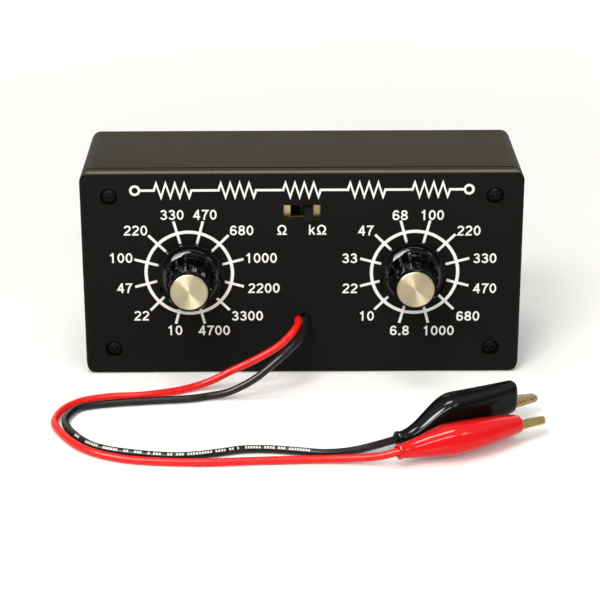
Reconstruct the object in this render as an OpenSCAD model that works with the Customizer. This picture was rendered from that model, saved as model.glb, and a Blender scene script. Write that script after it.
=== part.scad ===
// Resistance substitution box: two rotary dials and a range slide switch in a moulded case,
// with two short test leads that end in booted crocodile clips.
// Millimetres, +X right, +Y to the back, +Z up. The origin is the middle of the case's underside.

/* [Case] */
// Width of the case
case_w = 152; // [140:0.5:180]
// Height of the case as it stands
case_h = 74.5; // [70:0.5:95]
// Depth of the case with the front panel on
case_d = 50.5; // [46:0.5:80]
// Thickness of the case walls
case_wall = 2.4; // [1.8:0.1:3.2]
// Radius of the four long corners of case and panel
corner_r = 4.5; // [3:0.1:6]
// Rounding of the case's back edges
back_edge_r = 1.6; // [0.6:0.1:2.4]
// Width of the shadow groove round the case where it meets the panel
seam_w = 1; // [0.4:0.1:1.4]
// Depth of the shadow groove
seam_d = 0.9; // [0.3:0.1:1]
// Height of the stiffening ribs inside the case
rib_h = 1.5; // [0.8:0.1:2.2]
// Thickness of the stiffening ribs
rib_t = 1.2; // [0.8:0.1:2]
// Number of ribs on the top wall, and as many on the bottom wall
rib_count = 6; // [2:1:8]

/* [Front panel] */
// Thickness of the front panel
panel_t = 3.5; // [2.5:0.1:4.5]
// Rounding of the panel's front edge
panel_edge_r = 1.8; // [0.4:0.1:2.4]
// Height of the locating rim behind the panel
rim_h = 2; // [1:0.1:3]
// Thickness of the locating rim
rim_t = 1.6; // [1:0.1:2.4]
// Gap between the locating rim and the case walls
rim_gap = 0.25; // [0.15:0.05:0.5]

/* [Panel screws] */
// Distance between the screws across the panel
screw_span_x = 132; // [120:0.5:134]
// Distance between the screws up the panel
screw_span_z = 56; // [46:0.5:58]
// Diameter of the screw shank
screw_d = 2.9; // [2.2:0.1:3.5]
// Length of the screw under its head
screw_l = 11; // [7:0.5:16]
// Diameter of the screw head
screw_head_d = 5; // [4:0.1:5.6]
// Height of the screw head
screw_head_h = 1.4; // [1:0.1:1.8]
// Diameter of the recess that the head sits in
screw_recess_d = 6.3; // [5.8:0.1:7.5]
// Depth of the recess that the head sits in
screw_recess_h = 1.9; // [1.6:0.1:2.2]
// Diameter of the screw posts in the case
post_d = 8; // [6.5:0.1:9]

/* [Rotary switches] */
// Distance between the two dials
dial_span = 76.6; // [70:0.1:84]
// Height of the dials above the table
dial_z = 37.55; // [32:0.05:44]
// Positions on each dial
dial_positions = 12; // [6:1:12]
// Angle between two positions
dial_step = 30; // [20:1:30]
// Diameter of the switch body
switch_d = 27; // [24:0.1:32]
// Depth of the switch body behind the panel
switch_h = 9.5; // [8:0.1:14]
// Wall of the switch body
switch_wall = 1.6; // [1.2:0.1:2.4]
// Thickness of the switch's rear plate
switch_base_t = 1.6; // [1:0.1:2.4]
// Diameter of the switch bushing
bushing_d = 9.5; // [8:0.1:10]
// Diameter of the switch shaft
shaft_d = 6.35; // [6:0.05:6.5]
// Circle on which the terminals stand
terminal_ring_d = 19; // [17:0.1:20]
// Diameter of a terminal pin
terminal_d = 1.2; // [0.8:0.1:1.5]
// Thickness of the washer under the nut
washer_t = 0.6; // [0.4:0.1:1]
// Diameter of the washer under the nut
washer_d = 13.6; // [12.5:0.1:15]
// Thickness of the bushing nut
nut_t = 2.2; // [1.6:0.1:2.4]
// Width of the bushing nut across its flats
nut_af = 12.7; // [11.5:0.1:13]

/* [Knobs] */
// Height of a knob
knob_h = 16.2; // [15:0.1:20]
// Diameter of the knob's flared skirt
knob_skirt_d = 23.5; // [22:0.1:28]
// Thickness of the skirt's rim
knob_rim_t = 1.2; // [0.8:0.1:2]
// Diameter of the fluted grip at its root
knob_grip_d = 15.5; // [14.5:0.1:17]
// Taper of the grip towards its front, on the radius
knob_grip_taper = 0.35; // [0.1:0.05:0.6]
// Number of flutes round the grip
flute_count = 14; // [8:1:18]
// Radius of a flute
flute_r = 1.5; // [0.8:0.1:1.8]
// Depth of a flute
flute_depth = 0.7; // [0.3:0.05:0.9]
// Diameter of the metal cap in the knob's front
cap_d = 12.8; // [10:0.1:13]
// Thickness of the metal cap
cap_t = 1; // [0.6:0.1:1.4]
// Height of the cap above the knob's front
cap_proud = 0.15; // [0.05:0.05:0.3]
// Diameter of the brass insert in the knob
insert_d = 10; // [9:0.1:10.6]
// Length of the brass insert
insert_l = 9; // [8:0.1:10]
// Gap between the left knob and the panel
left_knob_stand = 2.6; // [0.6:0.1:3]
// Gap between the right knob and the panel
right_knob_stand = 0.9; // [0.6:0.1:3]
// Diameter of the set screw
set_screw_d = 3; // [2.5:0.1:3.5]

/* [Slide switch] */
// Height of the slide switch above the table
slide_z = 59.6; // [57:0.1:61]
// Travel of the slider from one range to the other
slide_travel = 4.6; // [3:0.1:4.8]
// Width of the slot in the panel
slot_w = 12.6; // [11.5:0.1:14]
// Height of the slot in the panel
slot_h = 5.3; // [5:0.1:6.5]
// Width of the slider's finger piece
slider_w = 2.9; // [2.4:0.1:3.4]
// Height of the slider's finger piece
slider_h = 4.4; // [3.6:0.1:4.6]
// Reach of the finger piece in front of the panel
slider_reach = 3; // [1:0.1:4]
// Width of the switch's metal frame between its bends
slide_frame_w = 14; // [13.4:0.1:16]
// Height of the switch's metal frame
slide_frame_h = 8; // [7.4:0.1:9]
// Depth of the switch's metal frame
slide_frame_d = 6; // [5.5:0.1:7]
// Thickness of the frame's sheet metal
slide_sheet = 0.6; // [0.4:0.1:0.8]
// Length of each mounting ear on the frame
slide_ear = 4; // [3:0.1:6]

/* [Circuit board] */
// Width of the circuit board
board_w = 120; // [112:0.5:122]
// Height of the circuit board
board_h = 58; // [54:0.5:60]
// Thickness of the circuit board
board_t = 1.6; // [1:0.1:2.4]
// Gap between the rotary switches and the board
board_gap = 3.2; // [2:0.1:5]
// Length of a resistor's body
resistor_l = 6.3; // [4:0.1:6.5]
// Diameter of a resistor's body
resistor_d = 2.4; // [1.8:0.1:2.6]
// Circle on which the resistors lie
resistor_ring_d = 40; // [38:0.5:42]

/* [Leads] */
// Diameter of a test lead over its insulation
lead_d = 2.6; // [2:0.1:2.7]
// Diameter of the hole in the panel for the leads
lead_hole_d = 6; // [5.8:0.1:8]
// Height of the lead hole above the table
lead_z = 20; // [18:0.5:22]
// Width of the tie that keeps the leads from being pulled out
tie_w = 2.5; // [1.8:0.1:4]
// Thickness of the tie
tie_t = 0.9; // [0.8:0.1:1.4]

/* [Clips] */
// Distance from the hinge pin to the tip of the jaws
jaw_l = 26; // [23:0.5:30]
// Length of the handles behind the hinge pin
handle_l = 9.5; // [8:0.5:11.5]
// Width of the jaws at the hinge
jaw_w = 4; // [3.8:0.1:4.2]
// Width of the jaws at the tip
jaw_tip_w = 2.6; // [2:0.1:3]
// Thickness of the jaws' sheet metal
jaw_sheet = 0.5; // [0.4:0.05:0.5]
// Distance between two teeth
tooth_pitch = 1.6; // [1:0.1:2.4]
// Height of a tooth
tooth_h = 1; // [0.6:0.1:1.2]
// Number of teeth on each jaw
tooth_count = 9; // [4:1:10]
// Diameter of the hinge pin
hinge_pin_d = 2; // [1.6:0.1:2.1]
// Diameter of the spring's wire
spring_wire_d = 0.5; // [0.3:0.05:0.5]
// Length of the boot behind the hinge pin
boot_back = 28.5; // [26:0.5:32]
// Length of the boot in front of the hinge pin
boot_front = 16; // [13:0.5:18]
// Boot's thickness across the handles, where it is fattest
boot_hump_h = 14.6; // [13.4:0.1:15.2]
// Boot's width there, along the hinge pin
boot_hump_w = 10.2; // [8.4:0.1:11.4]
// Boot's thickness at its mouth
boot_mouth_h = 10.6; // [10.4:0.1:11.4]
// Boot's width at its mouth
boot_mouth_w = 6; // [5.6:0.1:6.6]
// Diameter of the boot's neck
boot_neck_d = 4.8; // [4.6:0.1:6]
// Wall of the boot over the handles
boot_wall = 0.8; // [0.6:0.05:0.9]
// Wall of the boot at its mouth
boot_mouth_wall = 0.5; // [0.4:0.05:0.55]

/* [Hidden] */
$fn = 48;

// Clearances shared by mating pieces
overcut = 1;
run_gap = 0.05;
seat_gap = 0.03;
slide_gap = 0.2;
part_gap = 0.3;

// Places along the depth of the case
front_y = -case_d / 2;
panel_back_y = front_y + panel_t;
mid_z = case_h / 2;
inner_w = case_w - 2 * case_wall;
inner_h = case_h - 2 * case_wall;
inner_r = max(corner_r - case_wall, 0.5);

// Depths on a dial's own axis, from the panel's front face, forwards positive
switch_front = -panel_t;
switch_rear = switch_front - switch_h;
base_rear = switch_rear - switch_base_t;
cavity_front = switch_front - 2;
bushing_tip = 0.5;
bushing_reach = washer_t + nut_t + bushing_tip;
rotor_d = 16;
rotor_t = 2.4;
rotor_rear = cavity_front - part_gap - rotor_t;
contact_t = 0.5;
wiper_t = 0.4;
wiper_rear = switch_rear + contact_t + part_gap;
board_front = base_rear - board_gap;
board_rear = board_front - board_t;
board_front_y = front_y - board_front;
board_rear_y = front_y - board_rear;
rest_angle = -(dial_positions - 1) * dial_step / 2;
common_pin_r = 5;
pin_tail = 0.8;

// Knob profile
knob_hollow_h = bushing_reach + part_gap - min(left_knob_stand, right_knob_stand);
knob_hollow_d = nut_af / cos(30) + 4 * part_gap;
shaft_reach = bushing_reach + insert_l;
knob_fillet_over = 0.2;
knob_fillet_r = (knob_skirt_d - knob_grip_d) / 2 + knob_fillet_over;
knob_crown_r = 1.2;
index_w = 1;
index_depth = 0.4;
set_screw_rise = 4.5;
set_screw_level = knob_hollow_h + set_screw_rise;
cap_edge = 0.4;

// Slide switch
slide_rest_x = slide_travel / 2;
slider_block_w = 5.6;
slider_block_t = 2;
slide_base_t = 1.6;
slide_pin_pitch = slide_travel;
slide_pin_d = 1;
slide_contact_t = 0.3;
slide_face = -panel_t - slide_sheet;
slide_back = -panel_t - slide_frame_d;
slide_window_w = slider_w + slide_travel + 2 * slide_gap;
slide_window_h = slider_h + 2 * slide_gap;

// Resistors
resistor_wire_d = 0.6;
resistor_end_d = resistor_d + 0.3;
resistor_lift = resistor_end_d / 2 + 0.1;
resistor_reach = resistor_l / 2 + 1.6;

// Leads
lead_sides = 8;
lead_r = lead_d / 2;
lead_x = 1.5;
lead_start_y = board_front_y - 0.05;
tie_corner_flat = 0.1;

// Places of the clips on the table: hinge point, heading, tilt and roll
clip_lift = 0.05;
boot_power = 3;
support_power = boot_power / (boot_power - 1);
red_roll = -111;
black_tilt = 1.5;
hump_ahead = 2.5;
hump_flat = 2;
hump_back_x = hump_ahead - handle_l;
hump_front_x = hump_back_x + hump_flat;
side_hump_behind = 1;
side_hump_x = -handle_l - side_hump_behind;
red_side_reach = pow(boot_hump_w / 2 * abs(sin(red_roll)), support_power);
red_back_reach = pow(boot_hump_h / 2 * abs(cos(red_roll)), support_power);
red_hinge_z = pow(red_side_reach + red_back_reach, 1 / support_power) + clip_lift;
red_hinge = [55.3, -90.1, red_hinge_z];
red_turn = [red_roll, 0, 25];
black_hinge_z = boot_hump_h / 2 * cos(black_tilt) + hump_front_x * sin(black_tilt) + clip_lift;
black_hinge = [55.2, -74.3, black_hinge_z];
black_turn = [0, black_tilt, 28];

// Boot shape: a bend is how far the middle line is off, sideways and up at the neck, sideways at the mouth
boot_sides = 24;
boot_neck_l = 1.5;
boot_lip = 0.2;
boot_lip_l = 1;
boot_mouth_rise = 2.3;
boot_side_edge = 0.9;
red_bend = [0.5, 0, -0.4];
black_bend = [0, -4.8, 0];
neck_bore_r = lead_r + part_gap;
neck_front_x = -boot_back + boot_neck_l;

// Clip sheet metal
tooth_gap = 0.35;
jaw_tip_t = 1;
jaw_hinge_t = 3;
handle_t = 5.3;
handle_root_x = -2.5;
jaw_back_x = 2;
jaw_bow = 0.7;
jaw_tip_ease = 0.8;
jaw_tip_thin = 0.4;
jaw_rest_t = 0.4;
jaw_rest_x = -1.5;
teeth_run_in = 1;
jaw_taper_x = 3;
jaw_tip_bevel = 1.2;
handle_root_t = jaw_hinge_t + 0.4;
handle_wall_h = 1.7;
ear_r = 1.9;
ear_clear_r = 2.3;
inner_ear_r = 1.7;
inner_ear_gap = 0.15;
inner_ear_t = 0.45;
pin_head_d = 3;
pin_head_t = 0.35;
teeth_end_x = jaw_l - 0.9;
teeth_start_x = teeth_end_x - tooth_count * tooth_pitch;
crimp_l = 3.5;
crimp_wall = 0.35;
crimp_place = 11.5;
crimp_step = 1;
crimp_back_x = crimp_place - boot_back;
crimp_level_x = crimp_back_x + crimp_step;
crimp_gap = 0.15;
crimp_bore_r = lead_r + crimp_gap;
lead_end_x = crimp_back_x + crimp_l - crimp_step / 2;
lead_bend_x = (neck_front_x + crimp_back_x) / 2;
jaw_root_l = 4;

// Spring
spring_r = hinge_pin_d / 2 + spring_wire_d / 2 + 0.2;
spring_half_w = 0.55;
spring_turns = 2;
spring_step = 30;
spring_leave = 75;
spring_leg_in = 1.5;
spring_leg_x = -handle_l + spring_leg_in;
spring_leg_drop = spring_leg_in * (handle_t - handle_root_t) / (handle_l + handle_root_x);
spring_leg_z = handle_t - spring_leg_drop - jaw_sheet - spring_wire_d / 2 - 0.15;

// Route of the red lead, from the panel to the neck of its boot
red_route = [[-1.5, -16, 20], [-1.5, -25, 20], [-1.5, -29, 20], [-3.5, -33.5, 18.5],
  [-7.5, -36.5, 15.5], [-12, -38, 13], [-18, -39, 10], [-24.5, -39.5, 7], [-30.5, -40, 4],
  [-36, -40.5, 2], [-42, -43, 1.4], [-48.5, -45.5, 1.4], [-55.5, -47.5, 1.4], [-65.5, -48.5, 1.4],
  [-75, -52, 1.4], [-80.5, -58.5, 1.4], [-82.5, -66, 1.4], [-82, -72, 1.4], [-78.5, -79.5, 1.4],
  [-74, -86.5, 1.4], [-68.5, -92, 1.4], [-61.5, -96, 1.4], [-51.5, -99, 1.4], [-33, -100.5, 1.4],
  [-15, -99.5, 1.4], [4, -98.8, 1.5], [16, -99.6, 2.2], [24, -101, 3.5]];
// Route of the black lead, from the panel to the neck of its boot
black_route = [[1.5, -16, 20], [1.5, -25, 20], [1.5, -30, 20], [0.5, -36, 19], [-2.5, -41, 17.5],
  [-6.5, -44.5, 15], [-11, -46.5, 11.5], [-15.5, -47.5, 8], [-20.5, -48, 5], [-26, -48, 2.5],
  [-32, -48.5, 1.5], [-39, -50.5, 1.4], [-51.5, -52, 1.4], [-65, -54, 1.4], [-74.5, -57, 1.4],
  [-78, -62.5, 1.4], [-79, -69.5, 1.4], [-76, -77.5, 1.4], [-70.5, -85.5, 1.4], [-65.5, -89.5, 1.4],
  [-58.5, -92.5, 1.4], [-45.5, -95.5, 1.4], [-36.5, -95.5, 1.4], [-28, -93.5, 1.4], [-19.5, -91, 1.4],
  [-10.5, -91, 1.4], [-2, -92.5, 1.4], [6.5, -94, 1.4], [15, -93, 1.6], [23, -91, 2.6]];

// Helper functions
function unit(v) = v / norm(v);
function mix(a, b, t) = a + (b - a) * t;
function within(t) = min(max(t, 0), 1);
function ease(t) = (1 - cos(180 * within(t))) / 2;
function fall(t) = 1 - cos(90 * within(t));
function turned(p, turn) =
  let (
    rolled = [p.x, p.y * cos(turn.x) - p.z * sin(turn.x), p.y * sin(turn.x) + p.z * cos(turn.x)],
    tilted = [rolled.x * cos(turn.y) + rolled.z * sin(turn.y), rolled.y,
      rolled.z * cos(turn.y) - rolled.x * sin(turn.y)]
  )
  [
    tilted.x * cos(turn.z) - tilted.y * sin(turn.z),
    tilted.x * sin(turn.z) + tilted.y * cos(turn.z),
    tilted.z
  ];
function lead_path(x, route, hinge, turn, bend) = concat(
  [[x, lead_start_y, lead_z]],
  route,
  [for (s = [-boot_back, neck_front_x])
    hinge + turned([s, bend[0], bend[1]], turn)],
  [hinge + turned([lead_bend_x, boot_mid_y(lead_bend_x, bend), boot_mid_z(lead_bend_x, bend)], turn)],
  [for (s = [crimp_back_x, lead_end_x])
    hinge + turned([s, boot_mid_y(crimp_level_x, bend), boot_mid_z(crimp_level_x, bend)], turn)]);

// Helper modules

// A closed tube swept along points
module tube(path, radius, sides, side_hint) {
  last = len(path) - 1;
  rings = [for (i = [0:last])
    let (
      along = unit(path[min(i + 1, last)] - path[max(i - 1, 0)]),
      across = unit(cross(along, side_hint)),
      lift = cross(across, along)
    )
    for (k = [0:sides - 1])
      path[i] + radius * (cos(360 * k / sides) * across + sin(360 * k / sides) * lift)];
  walls = [for (i = [0:last - 1], k = [0:sides - 1])
    let (next = (k + 1) % sides)
    [i * sides + k, i * sides + next, (i + 1) * sides + next, (i + 1) * sides + k]];
  start_cap = [[for (k = [0:sides - 1]) sides - 1 - k]];
  end_cap = [[for (k = [0:sides - 1]) last * sides + k]];
  polyhedron(points = rings, faces = concat(start_cap, walls, end_cap), convexity = 10);
}

// A rectangle with round corners
module rounded_rect(w, h, r) {
  square([w - 2 * r, h], center = true);
  square([w, h - 2 * r], center = true);
  for (sx = [-1, 1], sy = [-1, 1])
    translate([sx * (w / 2 - r), sy * (h / 2 - r)])
      circle(r);
}

// Places its children on the panel's front face, their Z axis pointing forwards
module on_panel(x, z) {
  translate([x, front_y, z])
    rotate([90, 0, 0])
      children();
}

module at_screws() {
  for (sx = [-1, 1], sz = [-1, 1])
    on_panel(sx * screw_span_x / 2, mid_z + sz * screw_span_z / 2)
      children();
}

module at_dial(side) {
  on_panel(side * dial_span / 2, dial_z)
    children();
}

// Turns its children to the dial position at rest, clockwise seen from the front
module at_rest_position() {
  rotate([0, 0, -rest_angle])
    children();
}

// One place for each dial position, from the rest position clockwise
module at_positions(radius) {
  for (i = [0:dial_positions - 1])
    rotate([0, 0, -rest_angle - i * dial_step])
      translate([0, radius, 0])
        children();
}

// A slab from one depth to another on the panel's axis
module between(low, high) {
  translate([0, 0, low])
    linear_extrude(high - low)
      children();
}

module round_bar(d, low, high) {
  translate([0, 0, low])
    cylinder(d = d, h = high - low);
}

// Block along the depth with its corners rounded, its front or back edge rounded too
module rounded_block(low_y, high_y, edge_r, sharp_side) {
  reach = 2 * edge_r + overcut;
  low = sharp_side < 0 ? low_y - reach : low_y;
  high = sharp_side > 0 ? high_y + reach : high_y;
  intersection() {
    translate([0, high_y, mid_z])
      rotate([90, 0, 0])
        linear_extrude(high_y - low_y)
          rounded_rect(case_w, case_h, corner_r);
    translate([0, (low + high) / 2, -overcut])
      linear_extrude(case_h + 2 * overcut)
        rounded_rect(case_w, high - low, edge_r);
    translate([-case_w / 2 - overcut, (low + high) / 2, mid_z])
      rotate([0, 90, 0])
        linear_extrude(case_w + 2 * overcut)
          rounded_rect(case_h, high - low, edge_r);
  }
}

// Case

module case_ribs() {
  rib_front_y = panel_back_y + rim_h + 1;
  rib_l = case_d / 2 - case_wall - rib_front_y;
  rib_pitch = (screw_span_x - 2 * post_d) / rib_count;
  for (i = [0:rib_count - 1], top = [0, 1])
    translate([
      (i - (rib_count - 1) / 2) * rib_pitch - rib_t / 2,
      rib_front_y,
      top == 1 ? case_h - case_wall - rib_h : case_wall / 2
    ])
      cube([rib_t, rib_l + case_wall / 2, rib_h + case_wall / 2]);
}

module screw_posts() {
  intersection() {
    at_screws()
      round_bar(post_d, -case_d + case_wall / 2, -panel_t);
    translate([0, case_d / 2, mid_z])
      rotate([90, 0, 0])
        linear_extrude(case_d)
          square([case_w - case_wall, case_h - case_wall], center = true);
  }
}

// Groove round the front of the case
module seam_groove() {
  translate([0, panel_back_y + seam_w, mid_z])
    rotate([90, 0, 0])
      linear_extrude(seam_w + overcut)
        difference() {
          rounded_rect(case_w + 2 * overcut, case_h + 2 * overcut, corner_r + overcut);
          rounded_rect(case_w - 2 * seam_d, case_h - 2 * seam_d, corner_r - seam_d);
        }
}

module case_box() {
  color([0.09, 0.09, 0.09])
    difference() {
      union() {
        difference() {
          rounded_block(panel_back_y, case_d / 2, back_edge_r, -1);
          translate([0, case_d / 2 - case_wall, mid_z])
            rotate([90, 0, 0])
              linear_extrude(case_d)
                rounded_rect(inner_w, inner_h, inner_r);
        }
        screw_posts();
        case_ribs();
      }
      seam_groove();
      at_screws()
        round_bar(screw_d + 2 * seat_gap, -screw_recess_h - screw_l - 1, overcut);
    }
}

module panel_rim() {
  rim_x = screw_span_x - post_d - 2;
  rim_z = screw_span_z - post_d - 2;
  edge_x = inner_w / 2 - rim_gap - rim_t;
  edge_z = inner_h / 2 - rim_gap - rim_t;
  translate([0, panel_back_y - overcut / 2, mid_z])
    for (side = [-1, 1]) {
      translate([-rim_x / 2, 0, side > 0 ? edge_z : -edge_z - rim_t])
        cube([rim_x, rim_h + overcut / 2, rim_t]);
      translate([side > 0 ? edge_x : -edge_x - rim_t, 0, -rim_z / 2])
        cube([rim_t, rim_h + overcut / 2, rim_z]);
    }
}

module front_panel() {
  color([0.09, 0.09, 0.09])
    difference() {
      union() {
        rounded_block(front_y, panel_back_y, panel_edge_r, 1);
        panel_rim();
      }
      at_screws() {
        round_bar(screw_d + 2 * part_gap, -panel_t - overcut, overcut);
        round_bar(screw_recess_d, -screw_recess_h, overcut);
      }
      for (side = [-1, 1])
        at_dial(side)
          round_bar(bushing_d + 2 * seat_gap, -panel_t - overcut, overcut);
      on_panel(0, slide_z)
        between(-panel_t - overcut, overcut)
          square([slot_w, slot_h], center = true);
      on_panel(0, lead_z)
        round_bar(lead_hole_d, -panel_t - overcut, overcut);
    }
}

module panel_screws() {
  slot_l = screw_head_d * 0.62;
  slot_t = screw_head_d * 0.16;
  color([0.05, 0.05, 0.05])
    at_screws()
      difference() {
        union() {
          round_bar(screw_d, -screw_recess_h - screw_l, -screw_recess_h);
          translate([0, 0, -screw_recess_h])
            rotate_extrude()
              intersection() {
                square([screw_head_d / 2, screw_head_h]);
                translate([0, screw_head_h - screw_head_d])
                  circle(screw_head_d);
              }
        }
        between(-screw_recess_h + screw_head_h / 3, overcut) {
          square([slot_l, slot_t], center = true);
          square([slot_t, slot_l], center = true);
        }
      }
}

// Circuit board

module circuit_board() {
  color([0.1, 0.35, 0.2])
    difference() {
      on_panel(0, mid_z)
        between(board_rear, board_front)
          square([board_w, board_h], center = true);
      for (side = [-1, 1])
        at_dial(side) {
          at_positions(terminal_ring_d / 2)
            round_bar(terminal_d + 2 * run_gap, board_rear - overcut, board_front + overcut);
          translate([0, -common_pin_r, 0])
            round_bar(terminal_d + 2 * run_gap, board_rear - overcut, board_front + overcut);
          at_positions(resistor_ring_d / 2)
            for (s = [-1, 1])
              translate([0, s * resistor_reach, 0])
                round_bar(resistor_wire_d + 2 * run_gap, board_rear - overcut, board_front + overcut);
        }
      on_panel(0, slide_z)
        for (i = [-1, 0, 1])
          translate([i * slide_pin_pitch, 0, 0])
            round_bar(slide_pin_d + 2 * run_gap, board_rear - overcut, board_front + overcut);
    }
}

// One resistor lying behind the board, along Y, with both wires bent through the board
module resistor() {
  axis_z = board_rear - resistor_lift;
  translate([0, 0, axis_z])
    rotate([-90, 0, 0])
      rotate_extrude()
        polygon([
          [0, -resistor_l / 2], [resistor_end_d / 2, -resistor_l / 2],
          [resistor_end_d / 2, -resistor_l / 4], [resistor_d / 2, -resistor_l / 4 + 0.3],
          [resistor_d / 2, resistor_l / 4 - 0.3], [resistor_end_d / 2, resistor_l / 4],
          [resistor_end_d / 2, resistor_l / 2], [0, resistor_l / 2]
        ]);
  translate([0, -resistor_reach, axis_z])
    rotate([-90, 0, 0])
      cylinder(d = resistor_wire_d, h = 2 * resistor_reach);
  for (s = [-1, 1])
    translate([0, s * resistor_reach, 0]) {
      translate([0, 0, axis_z])
        sphere(d = resistor_wire_d);
      round_bar(resistor_wire_d, axis_z, board_front + pin_tail);
    }
}

module resistors(side) {
  color([0.55, 0.72, 0.85])
    at_dial(side)
      at_positions(resistor_ring_d / 2)
        resistor();
}

module range_wires() {
  color("silver")
    on_panel(0, slide_z)
      for (i = [-1, 0, 1])
        translate([i * slide_pin_pitch, 0, 0])
          round_bar(slide_pin_d * 0.8, board_rear - pin_tail, slide_back - slide_base_t - seat_gap);
}

// Rotary switches

module switch_housing(side) {
  color([0.15, 0.13, 0.12])
    at_dial(side)
      difference() {
        union() {
          round_bar(switch_d, switch_rear, switch_front);
          round_bar(bushing_d, switch_front - overcut, bushing_reach);
        }
        round_bar(switch_d - 2 * switch_wall, switch_rear - overcut, cavity_front);
        round_bar(shaft_d + 2 * run_gap, cavity_front - overcut, bushing_reach + overcut);
      }
}

module switch_base(side) {
  color([0.42, 0.26, 0.14])
    at_dial(side)
      difference() {
        round_bar(switch_d, base_rear, switch_rear);
        at_positions(terminal_ring_d / 2)
          round_bar(terminal_d + 2 * seat_gap, base_rear - overcut, switch_rear + overcut);
        translate([0, -common_pin_r, 0])
          round_bar(terminal_d + 2 * seat_gap, base_rear - overcut, switch_rear + overcut);
      }
}

module terminal() {
  round_bar(terminal_d, board_rear - pin_tail, switch_rear);
  round_bar(terminal_d * 1.7, switch_rear, switch_rear + contact_t);
}

module switch_terminals(side) {
  color("silver")
    at_dial(side) {
      at_positions(terminal_ring_d / 2)
        terminal();
      translate([0, -common_pin_r, 0])
        terminal();
    }
}

module switch_shaft(side) {
  color([0.75, 0.75, 0.76])
    at_dial(side) {
      round_bar(shaft_d, rotor_rear, shaft_reach);
      round_bar(rotor_d, rotor_rear, rotor_rear + rotor_t);
      round_bar(shaft_d, wiper_rear + wiper_t, rotor_rear);
    }
}

module switch_wiper(side) {
  color([0.8, 0.55, 0.3])
    at_dial(side)
      at_rest_position()
        between(wiper_rear, wiper_rear + wiper_t) {
          circle(d = shaft_d);
          translate([-terminal_d, 0])
            square([2 * terminal_d, terminal_ring_d / 2]);
          translate([0, terminal_ring_d / 2])
            circle(terminal_d);
        }
}

module switch_washer(side) {
  color("silver")
    at_dial(side)
      difference() {
        round_bar(washer_d, 0, washer_t);
        round_bar(bushing_d + 2 * seat_gap, -overcut, washer_t + overcut);
      }
}

module switch_nut(side) {
  color("silver")
    at_dial(side)
      difference() {
        translate([0, 0, washer_t])
          cylinder(d = nut_af / cos(30), h = nut_t, $fn = 6);
        round_bar(bushing_d + 2 * seat_gap, washer_t - overcut, washer_t + nut_t + overcut);
      }
}

// Knobs

module knob_profile() {
  grip_r = knob_grip_d / 2;
  front_r = grip_r - knob_grip_taper;
  fillet_z = knob_rim_t + knob_fillet_r;
  difference() {
    square([knob_skirt_d / 2, fillet_z]);
    translate([grip_r + knob_fillet_r, fillet_z])
      circle(knob_fillet_r);
  }
  polygon([
    [0, fillet_z], [grip_r, fillet_z], [front_r, knob_h - knob_crown_r],
    [front_r - knob_crown_r / 3, knob_h - knob_crown_r / 3], [front_r - knob_crown_r, knob_h], [0, knob_h]
  ]);
}

module set_screw_axis(low_r, high_r, d) {
  translate([0, low_r, set_screw_level])
    rotate([-90, 0, 0])
      cylinder(d = d, h = high_r - low_r);
}

module knob(side, stand) {
  color([0.04, 0.04, 0.04])
    at_dial(side)
      at_rest_position()
        translate([0, 0, stand])
          difference() {
            rotate_extrude()
              knob_profile();
            round_bar(knob_hollow_d, -overcut, knob_hollow_h);
            round_bar(insert_d + 2 * seat_gap, 0, knob_hollow_h + insert_l + seat_gap);
            round_bar(cap_d + 2 * seat_gap, knob_h - cap_t + cap_proud, knob_h + overcut);
            for (i = [0:flute_count - 1])
              rotate([0, 0, 360 * (i + 0.5) / flute_count])
                translate([0, knob_grip_d / 2 + flute_r - flute_depth, knob_rim_t + flute_r])
                  cylinder(r = flute_r, h = knob_h);
            translate([-index_w / 2, knob_grip_d / 2 + flute_r, knob_rim_t - index_depth])
              cube([index_w, knob_skirt_d, knob_h]);
            set_screw_axis(0, knob_skirt_d, set_screw_d + 2 * seat_gap);
          }
}

module knob_cap(side, stand) {
  low = knob_h - cap_t + cap_proud;
  high = knob_h + cap_proud;
  color([0.85, 0.82, 0.7])
    at_dial(side)
      translate([0, 0, stand])
        rotate_extrude()
          polygon([
            [0, low], [cap_d / 2, low], [cap_d / 2, high - cap_edge],
            [cap_d / 2 - cap_edge, high], [0, high]
          ]);
}

module knob_insert(side, stand) {
  color([0.78, 0.62, 0.3])
    at_dial(side)
      at_rest_position()
        translate([0, 0, stand])
          difference() {
            round_bar(insert_d, knob_hollow_h, knob_hollow_h + insert_l);
            round_bar(shaft_d + 2 * seat_gap, 0, knob_h);
            set_screw_axis(0, insert_d, set_screw_d + 2 * seat_gap);
          }
}

module knob_set_screw(side, stand) {
  reach = knob_grip_d / 2 - flute_depth - knob_grip_taper;
  color([0.3, 0.3, 0.32])
    at_dial(side)
      at_rest_position()
        translate([0, 0, stand])
          difference() {
            set_screw_axis(shaft_d / 2 + seat_gap, reach, set_screw_d);
            translate([0, reach, set_screw_level])
              rotate([-90, 0, 0])
                cube([set_screw_d, 0.5, 1.4], center = true);
          }
}

// Slide switch

module slide_switch_frame() {
  color([0.86, 0.78, 0.5])
    on_panel(0, slide_z)
      difference() {
        union() {
          between(slide_face, -panel_t)
            square([slide_frame_w + 2 * slide_ear, slide_frame_h], center = true);
          between(slide_back, -panel_t)
            square([slide_frame_w, slide_frame_h], center = true);
        }
        between(slide_back - overcut, slide_face)
          square([slide_frame_w + overcut, slide_frame_h - 2 * slide_sheet], center = true);
        between(slide_face - overcut, overcut)
          square([slide_window_w, slide_window_h], center = true);
      }
}

module slide_switch_base() {
  color([0.45, 0.28, 0.15])
    on_panel(0, slide_z)
      difference() {
        between(slide_back - slide_base_t, slide_back)
          square([slide_frame_w, slide_frame_h], center = true);
        for (i = [-1, 0, 1])
          translate([i * slide_pin_pitch, 0, 0])
            round_bar(
              slide_pin_d + 2 * seat_gap,
              slide_back - slide_base_t - overcut,
              slide_back + overcut);
      }
}

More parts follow.
